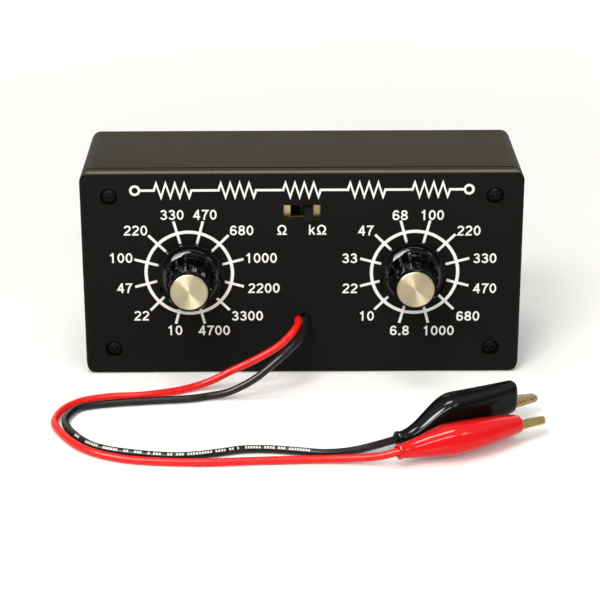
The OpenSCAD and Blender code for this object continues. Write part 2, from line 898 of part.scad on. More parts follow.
module slide_switch_terminals() {
  color("silver")
    on_panel(0, slide_z)
      for (i = [-1, 0, 1])
        translate([i * slide_pin_pitch, 0, 0]) {
          round_bar(slide_pin_d, slide_back - slide_base_t, slide_back);
          round_bar(slide_pin_d * 1.6, slide_back, slide_back + contact_t);
        }
}

module slide_switch_slider() {
  block_front = slide_face - slide_gap;
  ridge_t = 0.5;
  color([0.05, 0.05, 0.05])
    on_panel(slide_rest_x, slide_z) {
      between(block_front - slider_block_t, block_front)
        square([slider_block_w, slide_frame_h - 2 * slide_sheet - 2 * slide_gap], center = true);
      difference() {
        between(block_front, slider_reach)
          square([slider_w, slider_h], center = true);
        for (i = [-1, 1])
          translate([i * slider_w / 3 - ridge_t / 2, -slider_h, slider_reach - ridge_t])
            cube([ridge_t, 2 * slider_h, 2 * ridge_t]);
      }
    }
}

module slide_switch_contact() {
  low = slide_back + contact_t + slide_gap;
  high = slide_face - slide_gap - slider_block_t;
  color([0.8, 0.55, 0.3])
    on_panel(slide_rest_x, slide_z) {
      between(low, low + slide_contact_t)
        square([slide_pin_pitch + slide_pin_d, 2], center = true);
      between(low, high)
        square([slide_pin_d, 2], center = true);
    }
}

// Leads

module red_lead() {
  color([0.9, 0.12, 0.12])
    tube(lead_path(-lead_x, red_route, red_hinge, red_turn, red_bend), lead_r, lead_sides, [0, 0, 1]);
}

module black_lead() {
  color([0.06, 0.06, 0.06])
    tube(
      lead_path(lead_x, black_route, black_hinge, black_turn, black_bend),
      lead_r, lead_sides, [0, 0, 1]);
}

// Tie round both leads, just behind the panel
module lead_tie() {
  inside_h = lead_d + 2 * run_gap;
  front = -panel_t - slide_gap;
  color([0.85, 0.85, 0.82])
    on_panel(0, lead_z)
      difference() {
        union() {
          between(front - tie_w, front)
            rounded_rect(
              2 * lead_x + inside_h + 2 * tie_t,
              inside_h + 2 * tie_t,
              inside_h / 2 + tie_t - tie_corner_flat);
          between(front - tie_w - tie_t, front)
            translate([-tie_w, -inside_h / 2 - 2.5 * tie_t])
              square([2 * tie_w, 2 * tie_t]);
        }
        between(front - tie_w - overcut, front + overcut)
          rounded_rect(2 * lead_x + inside_h, inside_h, inside_h / 2 - tie_corner_flat);
      }
}

// Clips: the hinge pin is the origin, X runs to the tip, Z is the way the upper jaw opens

module place_clip(hinge, turn) {
  translate(hinge)
    rotate(turn)
      children();
}

// Teeth along the jaws, from the tip back
function tooth_line(lift) = [
  for (i = [0:2 * tooth_count])
    [teeth_end_x - i * tooth_pitch / 2, (i % 2 == 0 ? -tooth_h / 2 : tooth_h / 2) + lift]
];

// Side outline of the lower jaw, then the same of the upper jaw
function jaw_back_line(s) = [
  [-handle_l, s * handle_t],
  [handle_root_x, s * handle_root_t],
  [jaw_back_x, s * jaw_hinge_t],
  [boot_front, s * (jaw_tip_t + jaw_bow)],
  [jaw_l - jaw_tip_ease, s * jaw_tip_t],
  [jaw_l, s * jaw_tip_t * jaw_tip_thin]
];
function jaw_front_line(s, lift) = concat(
  tooth_line(lift),
  [
    [teeth_start_x - teeth_run_in, s * jaw_rest_t],
    [jaw_rest_x, s * jaw_rest_t],
    [-handle_l, s * (handle_t - handle_wall_h)]
  ]);

module jaw_side(s, lift) {
  polygon(concat(jaw_back_line(s), jaw_front_line(s, lift)));
}

// Outline of a jaw seen along the opening direction
module jaw_plan() {
  polygon([
    [-handle_l - overcut, -jaw_w / 2],
    [jaw_taper_x, -jaw_w / 2],
    [jaw_l - jaw_tip_bevel, -jaw_tip_w / 2],
    [jaw_l, -jaw_tip_w / 4],
    [jaw_l, jaw_tip_w / 4],
    [jaw_l - jaw_tip_bevel, jaw_tip_w / 2],
    [jaw_taper_x, jaw_w / 2],
    [-handle_l - overcut, jaw_w / 2]
  ]);
}

module across_jaw(width) {
  translate([0, width / 2, 0])
    rotate([90, 0, 0])
      linear_extrude(width)
        children();
}

// Folded sheet channel with teeth on its two edges
module jaw_channel(s, lift) {
  channel_w = jaw_tip_w - 2 * jaw_sheet;
  root_w = jaw_w - 2 * jaw_sheet;
  difference() {
    intersection() {
      across_jaw(jaw_w)
        jaw_side(s, lift);
      translate([0, 0, -handle_t - overcut])
        linear_extrude(2 * handle_t + 2 * overcut)
          jaw_plan();
    }
    translate([0, 0, -s * jaw_sheet])
      across_jaw(channel_w)
        jaw_side(s, lift);
    intersection() {
      translate([0, 0, -s * jaw_sheet])
        across_jaw(root_w)
          jaw_side(s, lift);
      translate([-2 * handle_l, -jaw_w, -handle_t])
        cube([2 * handle_l + jaw_root_l, 2 * jaw_w, 2 * handle_t]);
    }
  }
}

module ear_bar(r, low, high) {
  for (s = [-1, 1])
    translate([0, s > 0 ? high : -low, 0])
      rotate([90, 0, 0])
        cylinder(r = r, h = high - low);
}

module pin_bore(gap) {
  translate([0, jaw_w, 0])
    rotate([90, 0, 0])
      cylinder(d = hinge_pin_d + 2 * gap, h = 2 * jaw_w);
}

module crimp(bend) {
  outer_r = crimp_bore_r + crimp_wall;
  mid_y = boot_mid_y(crimp_level_x, bend);
  mid_z = boot_mid_z(crimp_level_x, bend);
  strap_t = 0.7;
  start = [crimp_back_x + crimp_l - 0.6, mid_z - outer_r + 0.1];
  end = [-handle_l + 0.8, -handle_t + 0.2];
  difference() {
    union() {
      translate([crimp_back_x, mid_y, mid_z])
        rotate([0, 90, 0])
          cylinder(r = outer_r, h = crimp_l);
      across_jaw(2)
        polygon([start, start + [0, strap_t], end + [0, strap_t], end]);
    }
    translate([crimp_back_x - overcut, mid_y, mid_z])
      rotate([0, 90, 0])
        cylinder(r = crimp_bore_r, h = crimp_l + 2 * overcut);
  }
}

module clip_lower_jaw(bend) {
  difference() {
    union() {
      jaw_channel(-1, 0);
      ear_bar(ear_r, jaw_w / 2 - jaw_sheet, jaw_w / 2);
    }
    pin_bore(seat_gap);
  }
  crimp(bend);
}

module clip_upper_jaw() {
  ear_high = jaw_w / 2 - jaw_sheet - inner_ear_gap;
  ear_low = ear_high - inner_ear_t;
  difference() {
    union() {
      difference() {
        jaw_channel(1, tooth_gap);
        ear_bar(ear_clear_r, ear_high, jaw_w);
      }
      ear_bar(inner_ear_r, ear_low, ear_high);
      for (s = [-1, 1])
        translate([-inner_ear_r * 0.8, s > 0 ? ear_low : -ear_high, 0])
          cube([inner_ear_r * 1.6, inner_ear_t, jaw_hinge_t - jaw_sheet / 2]);
    }
    pin_bore(run_gap);
  }
}

module clip_pin() {
  half = jaw_w / 2 + seat_gap;
  translate([0, half, 0])
    rotate([90, 0, 0])
      cylinder(d = hinge_pin_d, h = 2 * half);
  ear_bar(pin_head_d / 2, half, half + pin_head_t);
}

module clip_spring() {
  sweep = 2 * spring_leave + 360 * spring_turns;
  steps = floor(sweep / spring_step);
  coil = [for (i = [0:steps])
    let (a = spring_leave - i * sweep / steps)
    [spring_r * cos(a), spring_half_w * (2 * i / steps - 1), spring_r * sin(a)]];
  path = concat(
    [[spring_leg_x, -spring_half_w, spring_leg_z]],
    coil,
    [[spring_leg_x, spring_half_w, -spring_leg_z]]);
  tube(path, spring_wire_d / 2, 6, [0, 1, 0]);
}

// Half thickness, half width and middle of the boot at a point along the clip
function swell(x, hump_x) = within((x - neck_front_x) / (hump_x - neck_front_x));
function taper(x, hump_x) = within((x - hump_x) / (boot_front - hump_x));
function boot_half_h(x, neck, hump, mouth) =
  x < hump_back_x
  ? mix(neck, hump, ease(swell(x, hump_back_x)))
  : mix(hump, mouth, fall(taper(x, hump_front_x)));
function boot_half_w(x, neck, hump, mouth) =
  let (t = swell(x, side_hump_x))
  x < side_hump_x
  ? mix(neck, hump, mix(ease(t), t, boot_side_edge))
  : mix(hump, mouth, fall(taper(x, side_hump_x)));
function boot_mid_y(x, bend) =
  bend[0] * (1 - ease(swell(x, hump_back_x))) + bend[2] * ease(taper(x, side_hump_x));
function boot_mid_z(x, bend) =
  bend[1] * (1 - ease(swell(x, hump_back_x))) + boot_mouth_rise * fall(taper(x, hump_front_x));
function lip_at(x) = x < -boot_back + boot_lip_l ? boot_lip : 0;
function power_of(x) = 2 + (boot_power - 2) * ease(swell(x, hump_back_x));
function rounded(v, p) = sign(v) * pow(abs(v), 2 / p);
function boot_ring(x, half_w, half_h, bend) = [
  for (k = [0:boot_sides - 1])
    let (a = 360 * (k + 0.5) / boot_sides)
    [x, boot_mid_y(x, bend) + half_w * rounded(cos(a), power_of(x)),
      boot_mid_z(x, bend) + half_h * rounded(sin(a), power_of(x))]
];
function boot_outer(x, bend) = boot_ring(x,
  boot_half_w(x, boot_neck_d / 2 + lip_at(x), boot_hump_w / 2, boot_mouth_w / 2),
  boot_half_h(x, boot_neck_d / 2 + lip_at(x), boot_hump_h / 2, boot_mouth_h / 2), bend);
function boot_inner(x, bend) = boot_ring(x,
  boot_half_w(x, neck_bore_r, boot_hump_w / 2 - boot_wall, boot_mouth_w / 2 - boot_mouth_wall),
  boot_half_h(x, neck_bore_r, boot_hump_h / 2 - boot_wall, boot_mouth_h / 2 - boot_mouth_wall), bend);

// Thin vinyl shell from the neck to the mouth
module clip_boot(bend) {
  stations = concat(
    [-boot_back, -boot_back + boot_lip_l * 0.8, -boot_back + boot_lip_l * 1.2],
    [for (i = [0:8]) mix(neck_front_x, side_hump_x, i / 8)],
    [for (i = [0:2]) mix(hump_back_x, hump_front_x, i / 2)],
    [for (i = [1:8]) mix(hump_front_x, boot_front, i / 8)]);
  n = len(stations);
  points = concat(
    [for (x = stations) each boot_outer(x, bend)],
    [for (x = stations) each boot_inner(x, bend)]);
  skin = n * boot_sides;
  walls = [for (i = [0:n - 2], k = [0:boot_sides - 1])
    let (
      next = (k + 1) % boot_sides,
      a = i * boot_sides,
      b = a + boot_sides
    )
    each [
      [a + k, b + k, b + next, a + next],
      [skin + a + next, skin + b + next, skin + b + k, skin + a + k]
    ]];
  rims = [for (k = [0:boot_sides - 1])
    let (
      next = (k + 1) % boot_sides,
      last = (n - 1) * boot_sides
    )
    each [
      [next, skin + next, skin + k, k],
      [last + k, skin + last + k, skin + last + next, last + next]
    ]];
  polyhedron(points = points, faces = concat(walls, rims), convexity = 10);
}

// Nodes

case_box();
front_panel();
panel_screws();
circuit_board();
resistors(-1);  // ohm_resistors
resistors(1);  // kilohm_resistors
range_wires();
lead_tie();
red_lead();
black_lead();
switch_housing(-1);  // left_switch_housing
switch_base(-1);  // left_switch_base
switch_terminals(-1);  // left_switch_terminals
switch_shaft(-1);  // left_switch_shaft
switch_wiper(-1);  // left_switch_wiper
switch_washer(-1);  // left_switch_washer
switch_nut(-1);  // left_switch_nut
knob(-1, left_knob_stand);  // left_knob
knob_cap(-1, left_knob_stand);  // left_knob_cap
knob_insert(-1, left_knob_stand);  // left_knob_insert
knob_set_screw(-1, left_knob_stand);  // left_knob_set_screw
switch_housing(1);  // right_switch_housing
switch_base(1);  // right_switch_base
switch_terminals(1);  // right_switch_terminals
switch_shaft(1);  // right_switch_shaft
switch_wiper(1);  // right_switch_wiper
switch_washer(1);  // right_switch_washer
switch_nut(1);  // right_switch_nut
knob(1, right_knob_stand);  // right_knob
knob_cap(1, right_knob_stand);  // right_knob_cap
knob_insert(1, right_knob_stand);  // right_knob_insert
knob_set_screw(1, right_knob_stand);  // right_knob_set_screw
slide_switch_frame();
slide_switch_base();
slide_switch_terminals();
slide_switch_slider();
slide_switch_contact();
color([0.78, 0.7, 0.5]) place_clip(red_hinge, red_turn) clip_lower_jaw(red_bend);  // red_clip_lower_jaw
color([0.78, 0.7, 0.5]) place_clip(red_hinge, red_turn) clip_upper_jaw();  // red_clip_upper_jaw
color("silver") place_clip(red_hinge, red_turn) clip_pin();  // red_clip_pin
color("silver") place_clip(red_hinge, red_turn) clip_spring();  // red_clip_spring
color([0.92, 0.12, 0.14]) place_clip(red_hinge, red_turn) clip_boot(red_bend);  // red_clip_boot
color([0.78, 0.7, 0.5]) place_clip(black_hinge, black_turn) clip_lower_jaw(black_bend);  // black_clip_lower_jaw
color([0.78, 0.7, 0.5]) place_clip(black_hinge, black_turn) clip_upper_jaw();  // black_clip_upper_jaw
color("silver") place_clip(black_hinge, black_turn) clip_pin();  // black_clip_pin
color("silver") place_clip(black_hinge, black_turn) clip_spring();  // black_clip_spring
color([0.06, 0.06, 0.06]) place_clip(black_hinge, black_turn) clip_boot(black_bend);  // black_clip_boot
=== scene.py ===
import math
import bpy
from mathutils import Matrix, Vector


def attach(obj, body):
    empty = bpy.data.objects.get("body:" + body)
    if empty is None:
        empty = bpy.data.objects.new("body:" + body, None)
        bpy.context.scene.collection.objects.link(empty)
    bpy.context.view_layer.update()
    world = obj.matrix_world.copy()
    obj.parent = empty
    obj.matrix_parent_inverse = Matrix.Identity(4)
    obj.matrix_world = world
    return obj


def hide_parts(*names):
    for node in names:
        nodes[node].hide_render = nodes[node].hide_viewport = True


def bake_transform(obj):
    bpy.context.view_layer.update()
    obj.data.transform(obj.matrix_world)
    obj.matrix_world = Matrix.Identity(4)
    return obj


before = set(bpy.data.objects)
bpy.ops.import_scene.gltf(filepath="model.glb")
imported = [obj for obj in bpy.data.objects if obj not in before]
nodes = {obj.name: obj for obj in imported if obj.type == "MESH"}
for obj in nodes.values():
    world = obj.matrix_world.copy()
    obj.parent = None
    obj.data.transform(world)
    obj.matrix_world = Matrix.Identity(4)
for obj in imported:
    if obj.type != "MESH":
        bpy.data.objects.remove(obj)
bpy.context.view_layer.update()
mm = 0.001
panelFrontY = -25.25  # millimetres, as all places below
dialX, dialZ = 38.3, 37.55
print("frame loaded:", len(nodes), "nodes")


# camera and stage
cameraLook = {
    "location": (-0.005065, -0.671278, 0.275331),
    "forward": (0.00621, 0.9336591, -0.3581095),
    "focalPixels": 1988.74,
    "framePixels": 600,
    "rollDegrees": -0.132,
}


def addCamera(look):
    data = bpy.data.cameras.new("photoCamera")
    data.sensor_width = 36.0
    data.lens = look["focalPixels"] * 36.0 / look["framePixels"]
    data.clip_start = 0.01
    data.clip_end = 50.0
    forward = Vector(look["forward"]).normalized()
    right = forward.cross(Vector((0, 0, 1))).normalized()
    up = right.cross(forward)
    roll = math.radians(look["rollDegrees"])
    imageRight = right * math.cos(roll) + up * math.sin(roll)
    imageUp = up * math.cos(roll) - right * math.sin(roll)
    turn = Matrix((imageRight, imageUp, -forward)).transposed().to_4x4()
    camera = bpy.data.objects.new("photoCamera", data)
    camera.matrix_world = Matrix.Translation(look["location"]) @ turn
    bpy.context.scene.collection.objects.link(camera)
    bpy.context.scene.camera = camera


addCamera(cameraLook)
bpy.context.scene.view_settings.view_transform = "Standard"


# small helpers for node trees
def newMaterial(name):
    material = bpy.data.materials.new(name)
    material.use_nodes = True
    tree = material.node_tree
    tree.nodes.clear()
    output = tree.nodes.new("ShaderNodeOutputMaterial")
    return material, tree, output


def addNode(tree, kind, **values):
    node = tree.nodes.new(kind)
    for key, value in values.items():
        if key in node.bl_rna.properties:
            setattr(node, key, value)
        else:
            node.inputs[key].default_value = value
    return node


def addMath(tree, operation, first, second=None, clamp=False):
    node = tree.nodes.new("ShaderNodeMath")
    node.operation = operation
    node.use_clamp = clamp
    for slot, value in enumerate((first, second)):
        if value is None:
            continue
        if isinstance(value, (int, float)):
            node.inputs[slot].default_value = value
        else:
            tree.links.new(value, node.inputs[slot])
    return node.outputs[0]


def addMix(tree, factor, first, second):
    node = tree.nodes.new("ShaderNodeMix")
    node.data_type = "RGBA"
    for socket, value in ((node.inputs[0], factor), (node.inputs[6], first), (node.inputs[7], second)):
        if isinstance(value, (int, float)):
            socket.default_value = value
        elif isinstance(value, (tuple, list)):
            socket.default_value = (*value[:3], 1.0)
        else:
            tree.links.new(value, socket)
    return node.outputs[2]


def addVectorMath(tree, operation, first, second=None):
    node = addNode(tree, "ShaderNodeVectorMath", operation=operation)
    for slot, value in enumerate((first, second)):
        if isinstance(value, tuple):
            node.inputs[slot].default_value = value
        elif value is not None:
            tree.links.new(value, node.inputs[slot])
    return node.outputs["Value" if operation in ("LENGTH", "DOT_PRODUCT") else "Vector"]


def addRamp(tree, value, low, high):  # soft step, 0 at low and 1 at high
    ramp = addNode(tree, "ShaderNodeMapRange", interpolation_type="SMOOTHSTEP")
    ramp.inputs["From Min"].default_value = low
    ramp.inputs["From Max"].default_value = high
    tree.links.new(value, ramp.inputs["Value"])
    return ramp.outputs[0]


def objectPlace(tree):
    return tree.nodes.new("ShaderNodeTexCoord").outputs["Object"]


def addNoise(tree, **values):  # noise that stays with the object
    noise = addNode(tree, "ShaderNodeTexNoise", **values)
    tree.links.new(objectPlace(tree), noise.inputs["Vector"])
    return noise


def splitVector(tree, vector):
    parts = tree.nodes.new("ShaderNodeSeparateXYZ")
    tree.links.new(vector, parts.inputs[0])
    return parts.outputs


def faceDirection(tree):
    return splitVector(tree, tree.nodes.new("ShaderNodeNewGeometry").outputs["Normal"])


def newGroup(name, inputs, outputs):
    group = bpy.data.node_groups.new(name, "ShaderNodeTree")
    for socketName, value in inputs.items():
        kind = "NodeSocketVector" if isinstance(value, tuple) else "NodeSocketFloat"
        socket = group.interface.new_socket(name=socketName, in_out="INPUT", socket_type=kind)
        socket.default_value = value
    for socketName in outputs:
        group.interface.new_socket(name=socketName, in_out="OUTPUT", socket_type="NodeSocketFloat")
    return group, group.nodes.new("NodeGroupInput"), group.nodes.new("NodeGroupOutput")


def placeGroup(tree, group, **values):
    node = tree.nodes.new("ShaderNodeGroup")
    node.node_tree = group
    for key, value in values.items():
        node.inputs[key].default_value = value
    return node


# shared surface effects
def makeGrainGroup():  # fine pimples of a moulded or sprayed skin
    group, enter, leave = newGroup("mouldGrain", {"Scale": 900.0, "Softness": 0.5}, ["Height"])
    fine = addNoise(group, Detail=3.0)
    group.links.new(enter.outputs["Scale"], fine.inputs["Scale"])
    broad = addNode(group, "ShaderNodeTexVoronoi", feature="SMOOTH_F1")
    group.links.new(objectPlace(group), broad.inputs["Vector"])
    group.links.new(addMath(group, "MULTIPLY", enter.outputs["Scale"], 0.6), broad.inputs["Scale"])
    softened = addMath(group, "MULTIPLY", broad.outputs["Distance"], enter.outputs["Softness"])
    group.links.new(addMath(group, "ADD", fine.outputs[0], softened), leave.inputs["Height"])
    return group


def makeSmudgeGroup():  # handled patches, a little shinier or duller
    group, enter, leave = newGroup(
        "handledSmudge", {"Roughness": 0.4, "Amount": 0.1, "Scale": 40.0}, ["Roughness", "Mask"])
    cloud = addNoise(group, Detail=5.0, Roughness=0.6, Distortion=0.4)
    group.links.new(enter.outputs["Scale"], cloud.inputs["Scale"])
    mask = addMath(group, "SUBTRACT", cloud.outputs[0], 0.5)
    shift = addMath(group, "MULTIPLY", mask, enter.outputs["Amount"])
    roughness = addMath(group, "ADD", enter.outputs["Roughness"], shift, clamp=True)
    group.links.new(roughness, leave.inputs["Roughness"])
    group.links.new(addMath(group, "ADD", mask, 0.5, clamp=True), leave.inputs["Mask"])
    return group


def makeRubGroup():  # pale rubbing along edges
    group, enter, leave = newGroup("edgeRub", {"Width": 0.0004, "Amount": 0.5}, ["Mask"])
    bevel = addNode(group, "ShaderNodeBevel", samples=4)
    group.links.new(enter.outputs["Width"], bevel.inputs["Radius"])
    flat = group.nodes.new("ShaderNodeNewGeometry")
    alike = addVectorMath(group, "DOT_PRODUCT", bevel.outputs[0], flat.outputs["Normal"])
    bend = addMath(group, "MULTIPLY", addMath(group, "SUBTRACT", 1.0, alike), 6.0, clamp=True)
    patch = addNoise(group, Scale=160.0, Detail=4.0)
    broken = addMath(group, "MULTIPLY", bend, patch.outputs[0])
    mask = addMath(group, "MULTIPLY", broken, enter.outputs["Amount"], clamp=True)
    group.links.new(mask, leave.inputs["Mask"])
    return group


def makeBrushGroup():  # fine lines of rolled, drawn or brushed metal
    group, enter, leave = newGroup(
        "metalLines", {"Stretch": (1.0, 1.0, 1.0), "Scale": 600.0}, ["Height", "Mask"])
    lines = addNode(group, "ShaderNodeTexNoise", Detail=4.0, Roughness=0.65)
    stretched = addVectorMath(group, "MULTIPLY", objectPlace(group), enter.outputs["Stretch"])
    group.links.new(stretched, lines.inputs["Vector"])
    group.links.new(enter.outputs["Scale"], lines.inputs["Scale"])
    group.links.new(lines.outputs[0], leave.inputs["Height"])
    tarnish = addNoise(group, Scale=140.0, Detail=6.0)
    group.links.new(tarnish.outputs[0], leave.inputs["Mask"])
    return group


def makeFilmAndPaintedSheenGroup():  # warm dust film and painted sheen: faces that look up are made paler and warmer
    group, enter, leave = newGroup("settledFilmAndPaintedSheen", {"Amount": 0.5, "Scale": 300.0}, ["Mask"])
    upward = addRamp(group, faceDirection(group)["Z"], 0.75, 0.98)
    specks = addNoise(group, Detail=6.0, Roughness=0.7)
    group.links.new(enter.outputs["Scale"], specks.inputs["Scale"])
    patchy = addMath(group, "MULTIPLY", specks.outputs[0], 2.0)
    amount = addMath(group, "MULTIPLY", enter.outputs["Amount"], patchy)
    group.links.new(addMath(group, "MULTIPLY", upward, amount, clamp=True), leave.inputs["Mask"])
    return group


def makePolishAndPaintedHighlightGroup():  # mask of edges and shoulders that look up and out: a painted highlight where it pales a colour, polish where it sets a coat
    group, enter, leave = newGroup("polishedEdgeAndPaintedHighlight", {"Amount": 0.5}, ["Mask"])
    facing = faceDirection(group)
    rising = addRamp(group, facing["Z"], 0.36, 0.66)
    passing = addRamp(group, facing["Z"], 0.97, 0.8)
    front = addRamp(group, facing["Y"], -0.15, -0.5)
    band = addMath(group, "MULTIPLY", addMath(group, "MULTIPLY", rising, passing), front)
    patch = addNoise(group, Scale=700.0, Detail=4.0, Roughness=0.7)
    broken = addMath(group, "MULTIPLY", band, addMath(group, "ADD", patch.outputs[0], 0.5))
    mask = addMath(group, "MULTIPLY", broken, enter.outputs["Amount"], clamp=True)
    group.links.new(mask, leave.inputs["Mask"])
    return group


def makeFlankGroup():  # polish on the sides of a turned piece, not on its flat front
    group, enter, leave = newGroup("polishedFlank", {"Amount": 1.0}, ["Mask"])
    forward = addMath(group, "ABSOLUTE", faceDirection(group)["Y"])
    aside = addRamp(group, forward, 0.94, 0.62)
    group.links.new(addMath(group, "MULTIPLY", aside, enter.outputs["Amount"]), leave.inputs["Mask"])
    return group


def makeGapPaintedShadeGroup():  # painted shade: narrow gaps are made darker
    group, enter, leave = newGroup("gapPaintedShade", {"Reach": 0.0006}, ["Mask"])
    around = group.nodes.new("ShaderNodeAmbientOcclusion")
    group.links.new(enter.outputs["Reach"], around.inputs["Distance"])
    group.links.new(addRamp(group, around.outputs["AO"], 0.75, 0.35), leave.inputs["Mask"])
    return group


grainGroup = makeGrainGroup()
smudgeGroup = makeSmudgeGroup()
rubGroup = makeRubGroup()
brushGroup = makeBrushGroup()
filmAndPaintedSheenGroup = makeFilmAndPaintedSheenGroup()
polishAndPaintedHighlightGroup = makePolishAndPaintedHighlightGroup()
flankGroup = makeFlankGroup()
gapPaintedShadeGroup = makeGapPaintedShadeGroup()


# finishes
coatRoughness = 0.05


def newFinish(name, constants):
    material, tree, output = newMaterial(name)
    shader = tree.nodes.new("ShaderNodeBsdfPrincipled")
    tree.links.new(shader.outputs[0], output.inputs["Surface"])
    for socketName, value in constants.items():
        shader.inputs[socketName].default_value = value
    return material, tree, shader


def addBump(tree, height, strength, distance):
    bump = tree.nodes.new("ShaderNodeBump")
    bump.inputs["Strength"].default_value = strength
    bump.inputs["Distance"].default_value = distance
    tree.links.new(height, bump.inputs["Height"])
    return bump


def addSkin(tree, look):  # smudges and grain of a moulded, sprayed or printed skin
    smudge = placeGroup(
        tree, smudgeGroup, Roughness=look["roughness"], Amount=look["smudge"],
        Scale=look.get("smudgeScale", 45.0))
    grain = placeGroup(
        tree, grainGroup, Scale=look["grainScale"], Softness=look.get("grainSoftness", 0.5))
    bump = addBump(tree, grain.outputs["Height"], look["grainDepth"], look.get("grainHeight", 0.00005))
    return smudge, bump


def joinShader(tree, shader, colour, smudge, bump):
    tree.links.new(colour, shader.inputs["Base Color"])
    tree.links.new(smudge.outputs["Roughness"], shader.inputs["Roughness"])
    tree.links.new(bump.outputs[0], shader.inputs["Normal"])


def makePlastic(name, look):
    material, tree, shader = newFinish(
        name, {"Specular IOR Level": look.get("specular", 0.5), "Coat Roughness": coatRoughness})
    smudge, bump = addSkin(tree, look)
    rub = placeGroup(tree, rubGroup, Width=look.get("rubWidth", 0.0003), Amount=look.get("rub", 0.2))
    clouded = addMix(tree, smudge.outputs["Mask"], look["colour"], look["shade"])
    colour = addMix(tree, rub.outputs["Mask"], clouded, look["worn"])
    # painted sheen, partly a dust film, on faces that look up
    if "filmAndPaintedSheen" in look:
        filmAndPaintedSheenNode = placeGroup(tree, filmAndPaintedSheenGroup, Amount=look["filmAndPaintedSheenAmount"], Scale=look["filmAndPaintedSheenScale"])
        colour = addMix(tree, filmAndPaintedSheenNode.outputs["Mask"], colour, look["filmAndPaintedSheen"])
    # painted highlight: edges and shoulders that look up and out are made paler
    if "paintedHighlight" in look:
        paintedHighlight = placeGroup(tree, polishAndPaintedHighlightGroup, Amount=look["paintedHighlightAmount"])
        colour = addMix(tree, paintedHighlight.outputs["Mask"], colour, look["paintedHighlight"])
    for key, group in (("shoulderCoat", polishAndPaintedHighlightGroup), ("flankCoat", flankGroup)):
        if key in look:
            coat = placeGroup(tree, group, Amount=look[key])
            tree.links.new(coat.outputs["Mask"], shader.inputs["Coat Weight"])
    joinShader(tree, shader, colour, smudge, bump)
    return material


def makeMetal(name, look):
    material, tree, shader = newFinish(name, {"Metallic": 1.0})
    lines = placeGroup(tree, brushGroup, Stretch=look["stretch"], Scale=look["lineScale"])
    smudge = placeGroup(tree, smudgeGroup, Roughness=look["roughness"], Amount=look["smudge"], Scale=80.0)
    colour = addMix(tree, lines.outputs["Mask"], look["colour"], look["shade"])
    # painted shade: narrow gaps between plates and teeth are made darker
    if "gapPaintedShadeColour" in look:
        gap = placeGroup(tree, gapPaintedShadeGroup, Reach=look["gapReach"])
        colour = addMix(tree, gap.outputs["Mask"], colour, look["gapPaintedShadeColour"])
    bump = addBump(tree, lines.outputs["Height"], look["lineDepth"], look.get("lineHeight", 0.00003))
    if "edgeRound" in look:
        rounded = addNode(tree, "ShaderNodeBevel", Radius=look["edgeRound"])
        tree.links.new(rounded.outputs[0], bump.inputs["Normal"])
    joinShader(tree, shader, colour, smudge, bump)
    return material


def dress(material, *names):
    for name in names:
        slots = nodes[name].data.materials
        slots.clear()
        slots.append(material)


def smooth(name, degrees):
    mesh = nodes[name].data
    for face in mesh.polygons:
        face.use_smooth = True
    mesh.set_sharp_from_angle(angle=math.radians(degrees))


# light, floor and white surroundings
stageLook = {
    "floorColour": (0.82, 0.82, 0.815),
    "floorHalf": 4.0,
    "glowNear": 0.16,
    "glowFar": 0.55,
    "glowFrom": 0.14,
    "glowTo": 0.75,
    "worldLight": 0.34,
    "wallFrom": 0.45,
    "wallTo": 0.85,
    "lampAim": (0.0, -0.03, 0.03),
    "lamps": [
        {
            "name": "keyLamp", "at": (-0.3, -0.7, 0.92), "wide": 0.4, "high": 0.34, "power": 6.9,
            "colour": (1.0, 0.97, 0.92)},
        {
            "name": "overheadLamp", "at": (-0.05, -0.12, 1.15), "wide": 0.5, "high": 0.3, "power": 3.9,
            "colour": (1.0, 0.96, 0.88)},
        {
            "name": "frontStrip", "at": (-0.05, -1.0, 0.72), "wide": 1.1, "high": 0.09, "power": 4.5,
            "colour": (1.0, 0.97, 0.93)},
        {
            "name": "sideLamp", "at": (0.8, -0.75, 0.6), "wide": 0.25, "high": 0.25, "power": 0.9,
            "colour": (0.97, 0.98, 1.0)},
        {
            "name": "shineCard", "at": (-0.6, -0.42, 0.66), "wide": 0.6, "high": 0.55, "power": 18.0,
            "colour": (1.0, 0.99, 0.97), "shineOnly": True},
    ],
}


def seenDirectly(tree):  # 1 for camera, mirror and see-through rays
    path = tree.nodes.new("ShaderNodeLightPath")
    first = addMath(tree, "MAXIMUM", path.outputs["Is Camera Ray"], path.outputs["Is Glossy Ray"])
    return addMath(tree, "MAXIMUM", first, path.outputs["Is Transmission Ray"])


def addFloor(look):
    mesh = bpy.data.meshes.new("floor")
    half = look["floorHalf"]
    corners = [(-half, -half, 0), (half, -half, 0), (half, half, 0), (-half, half, 0)]
    mesh.from_pydata(corners, [], [(0, 1, 2, 3)])
    floor = bpy.data.objects.new("floor", mesh)
    bpy.context.scene.collection.objects.link(floor)
    material, tree, output = newMaterial("palePaper")
    paper = addNode(tree, "ShaderNodeBsdfDiffuse", Color=(*look["floorColour"], 1.0))
    glow = addNode(tree, "ShaderNodeEmission", Color=(1.0, 1.0, 1.0, 1.0))
    reach = addVectorMath(tree, "LENGTH", objectPlace(tree))
    away = addRamp(tree, reach, look["glowFrom"], look["glowTo"])
    gain = addMath(tree, "MULTIPLY", away, look["glowFar"] - look["glowNear"])
    strength = addMath(tree, "ADD", gain, look["glowNear"])
    tree.links.new(addMath(tree, "MULTIPLY", seenDirectly(tree), strength), glow.inputs["Strength"])
    both = tree.nodes.new("ShaderNodeAddShader")
    tree.links.new(paper.outputs[0], both.inputs[0])
    tree.links.new(glow.outputs[0], both.inputs[1])
    tree.links.new(both.outputs[0], output.inputs["Surface"])
    mesh.materials.append(material)


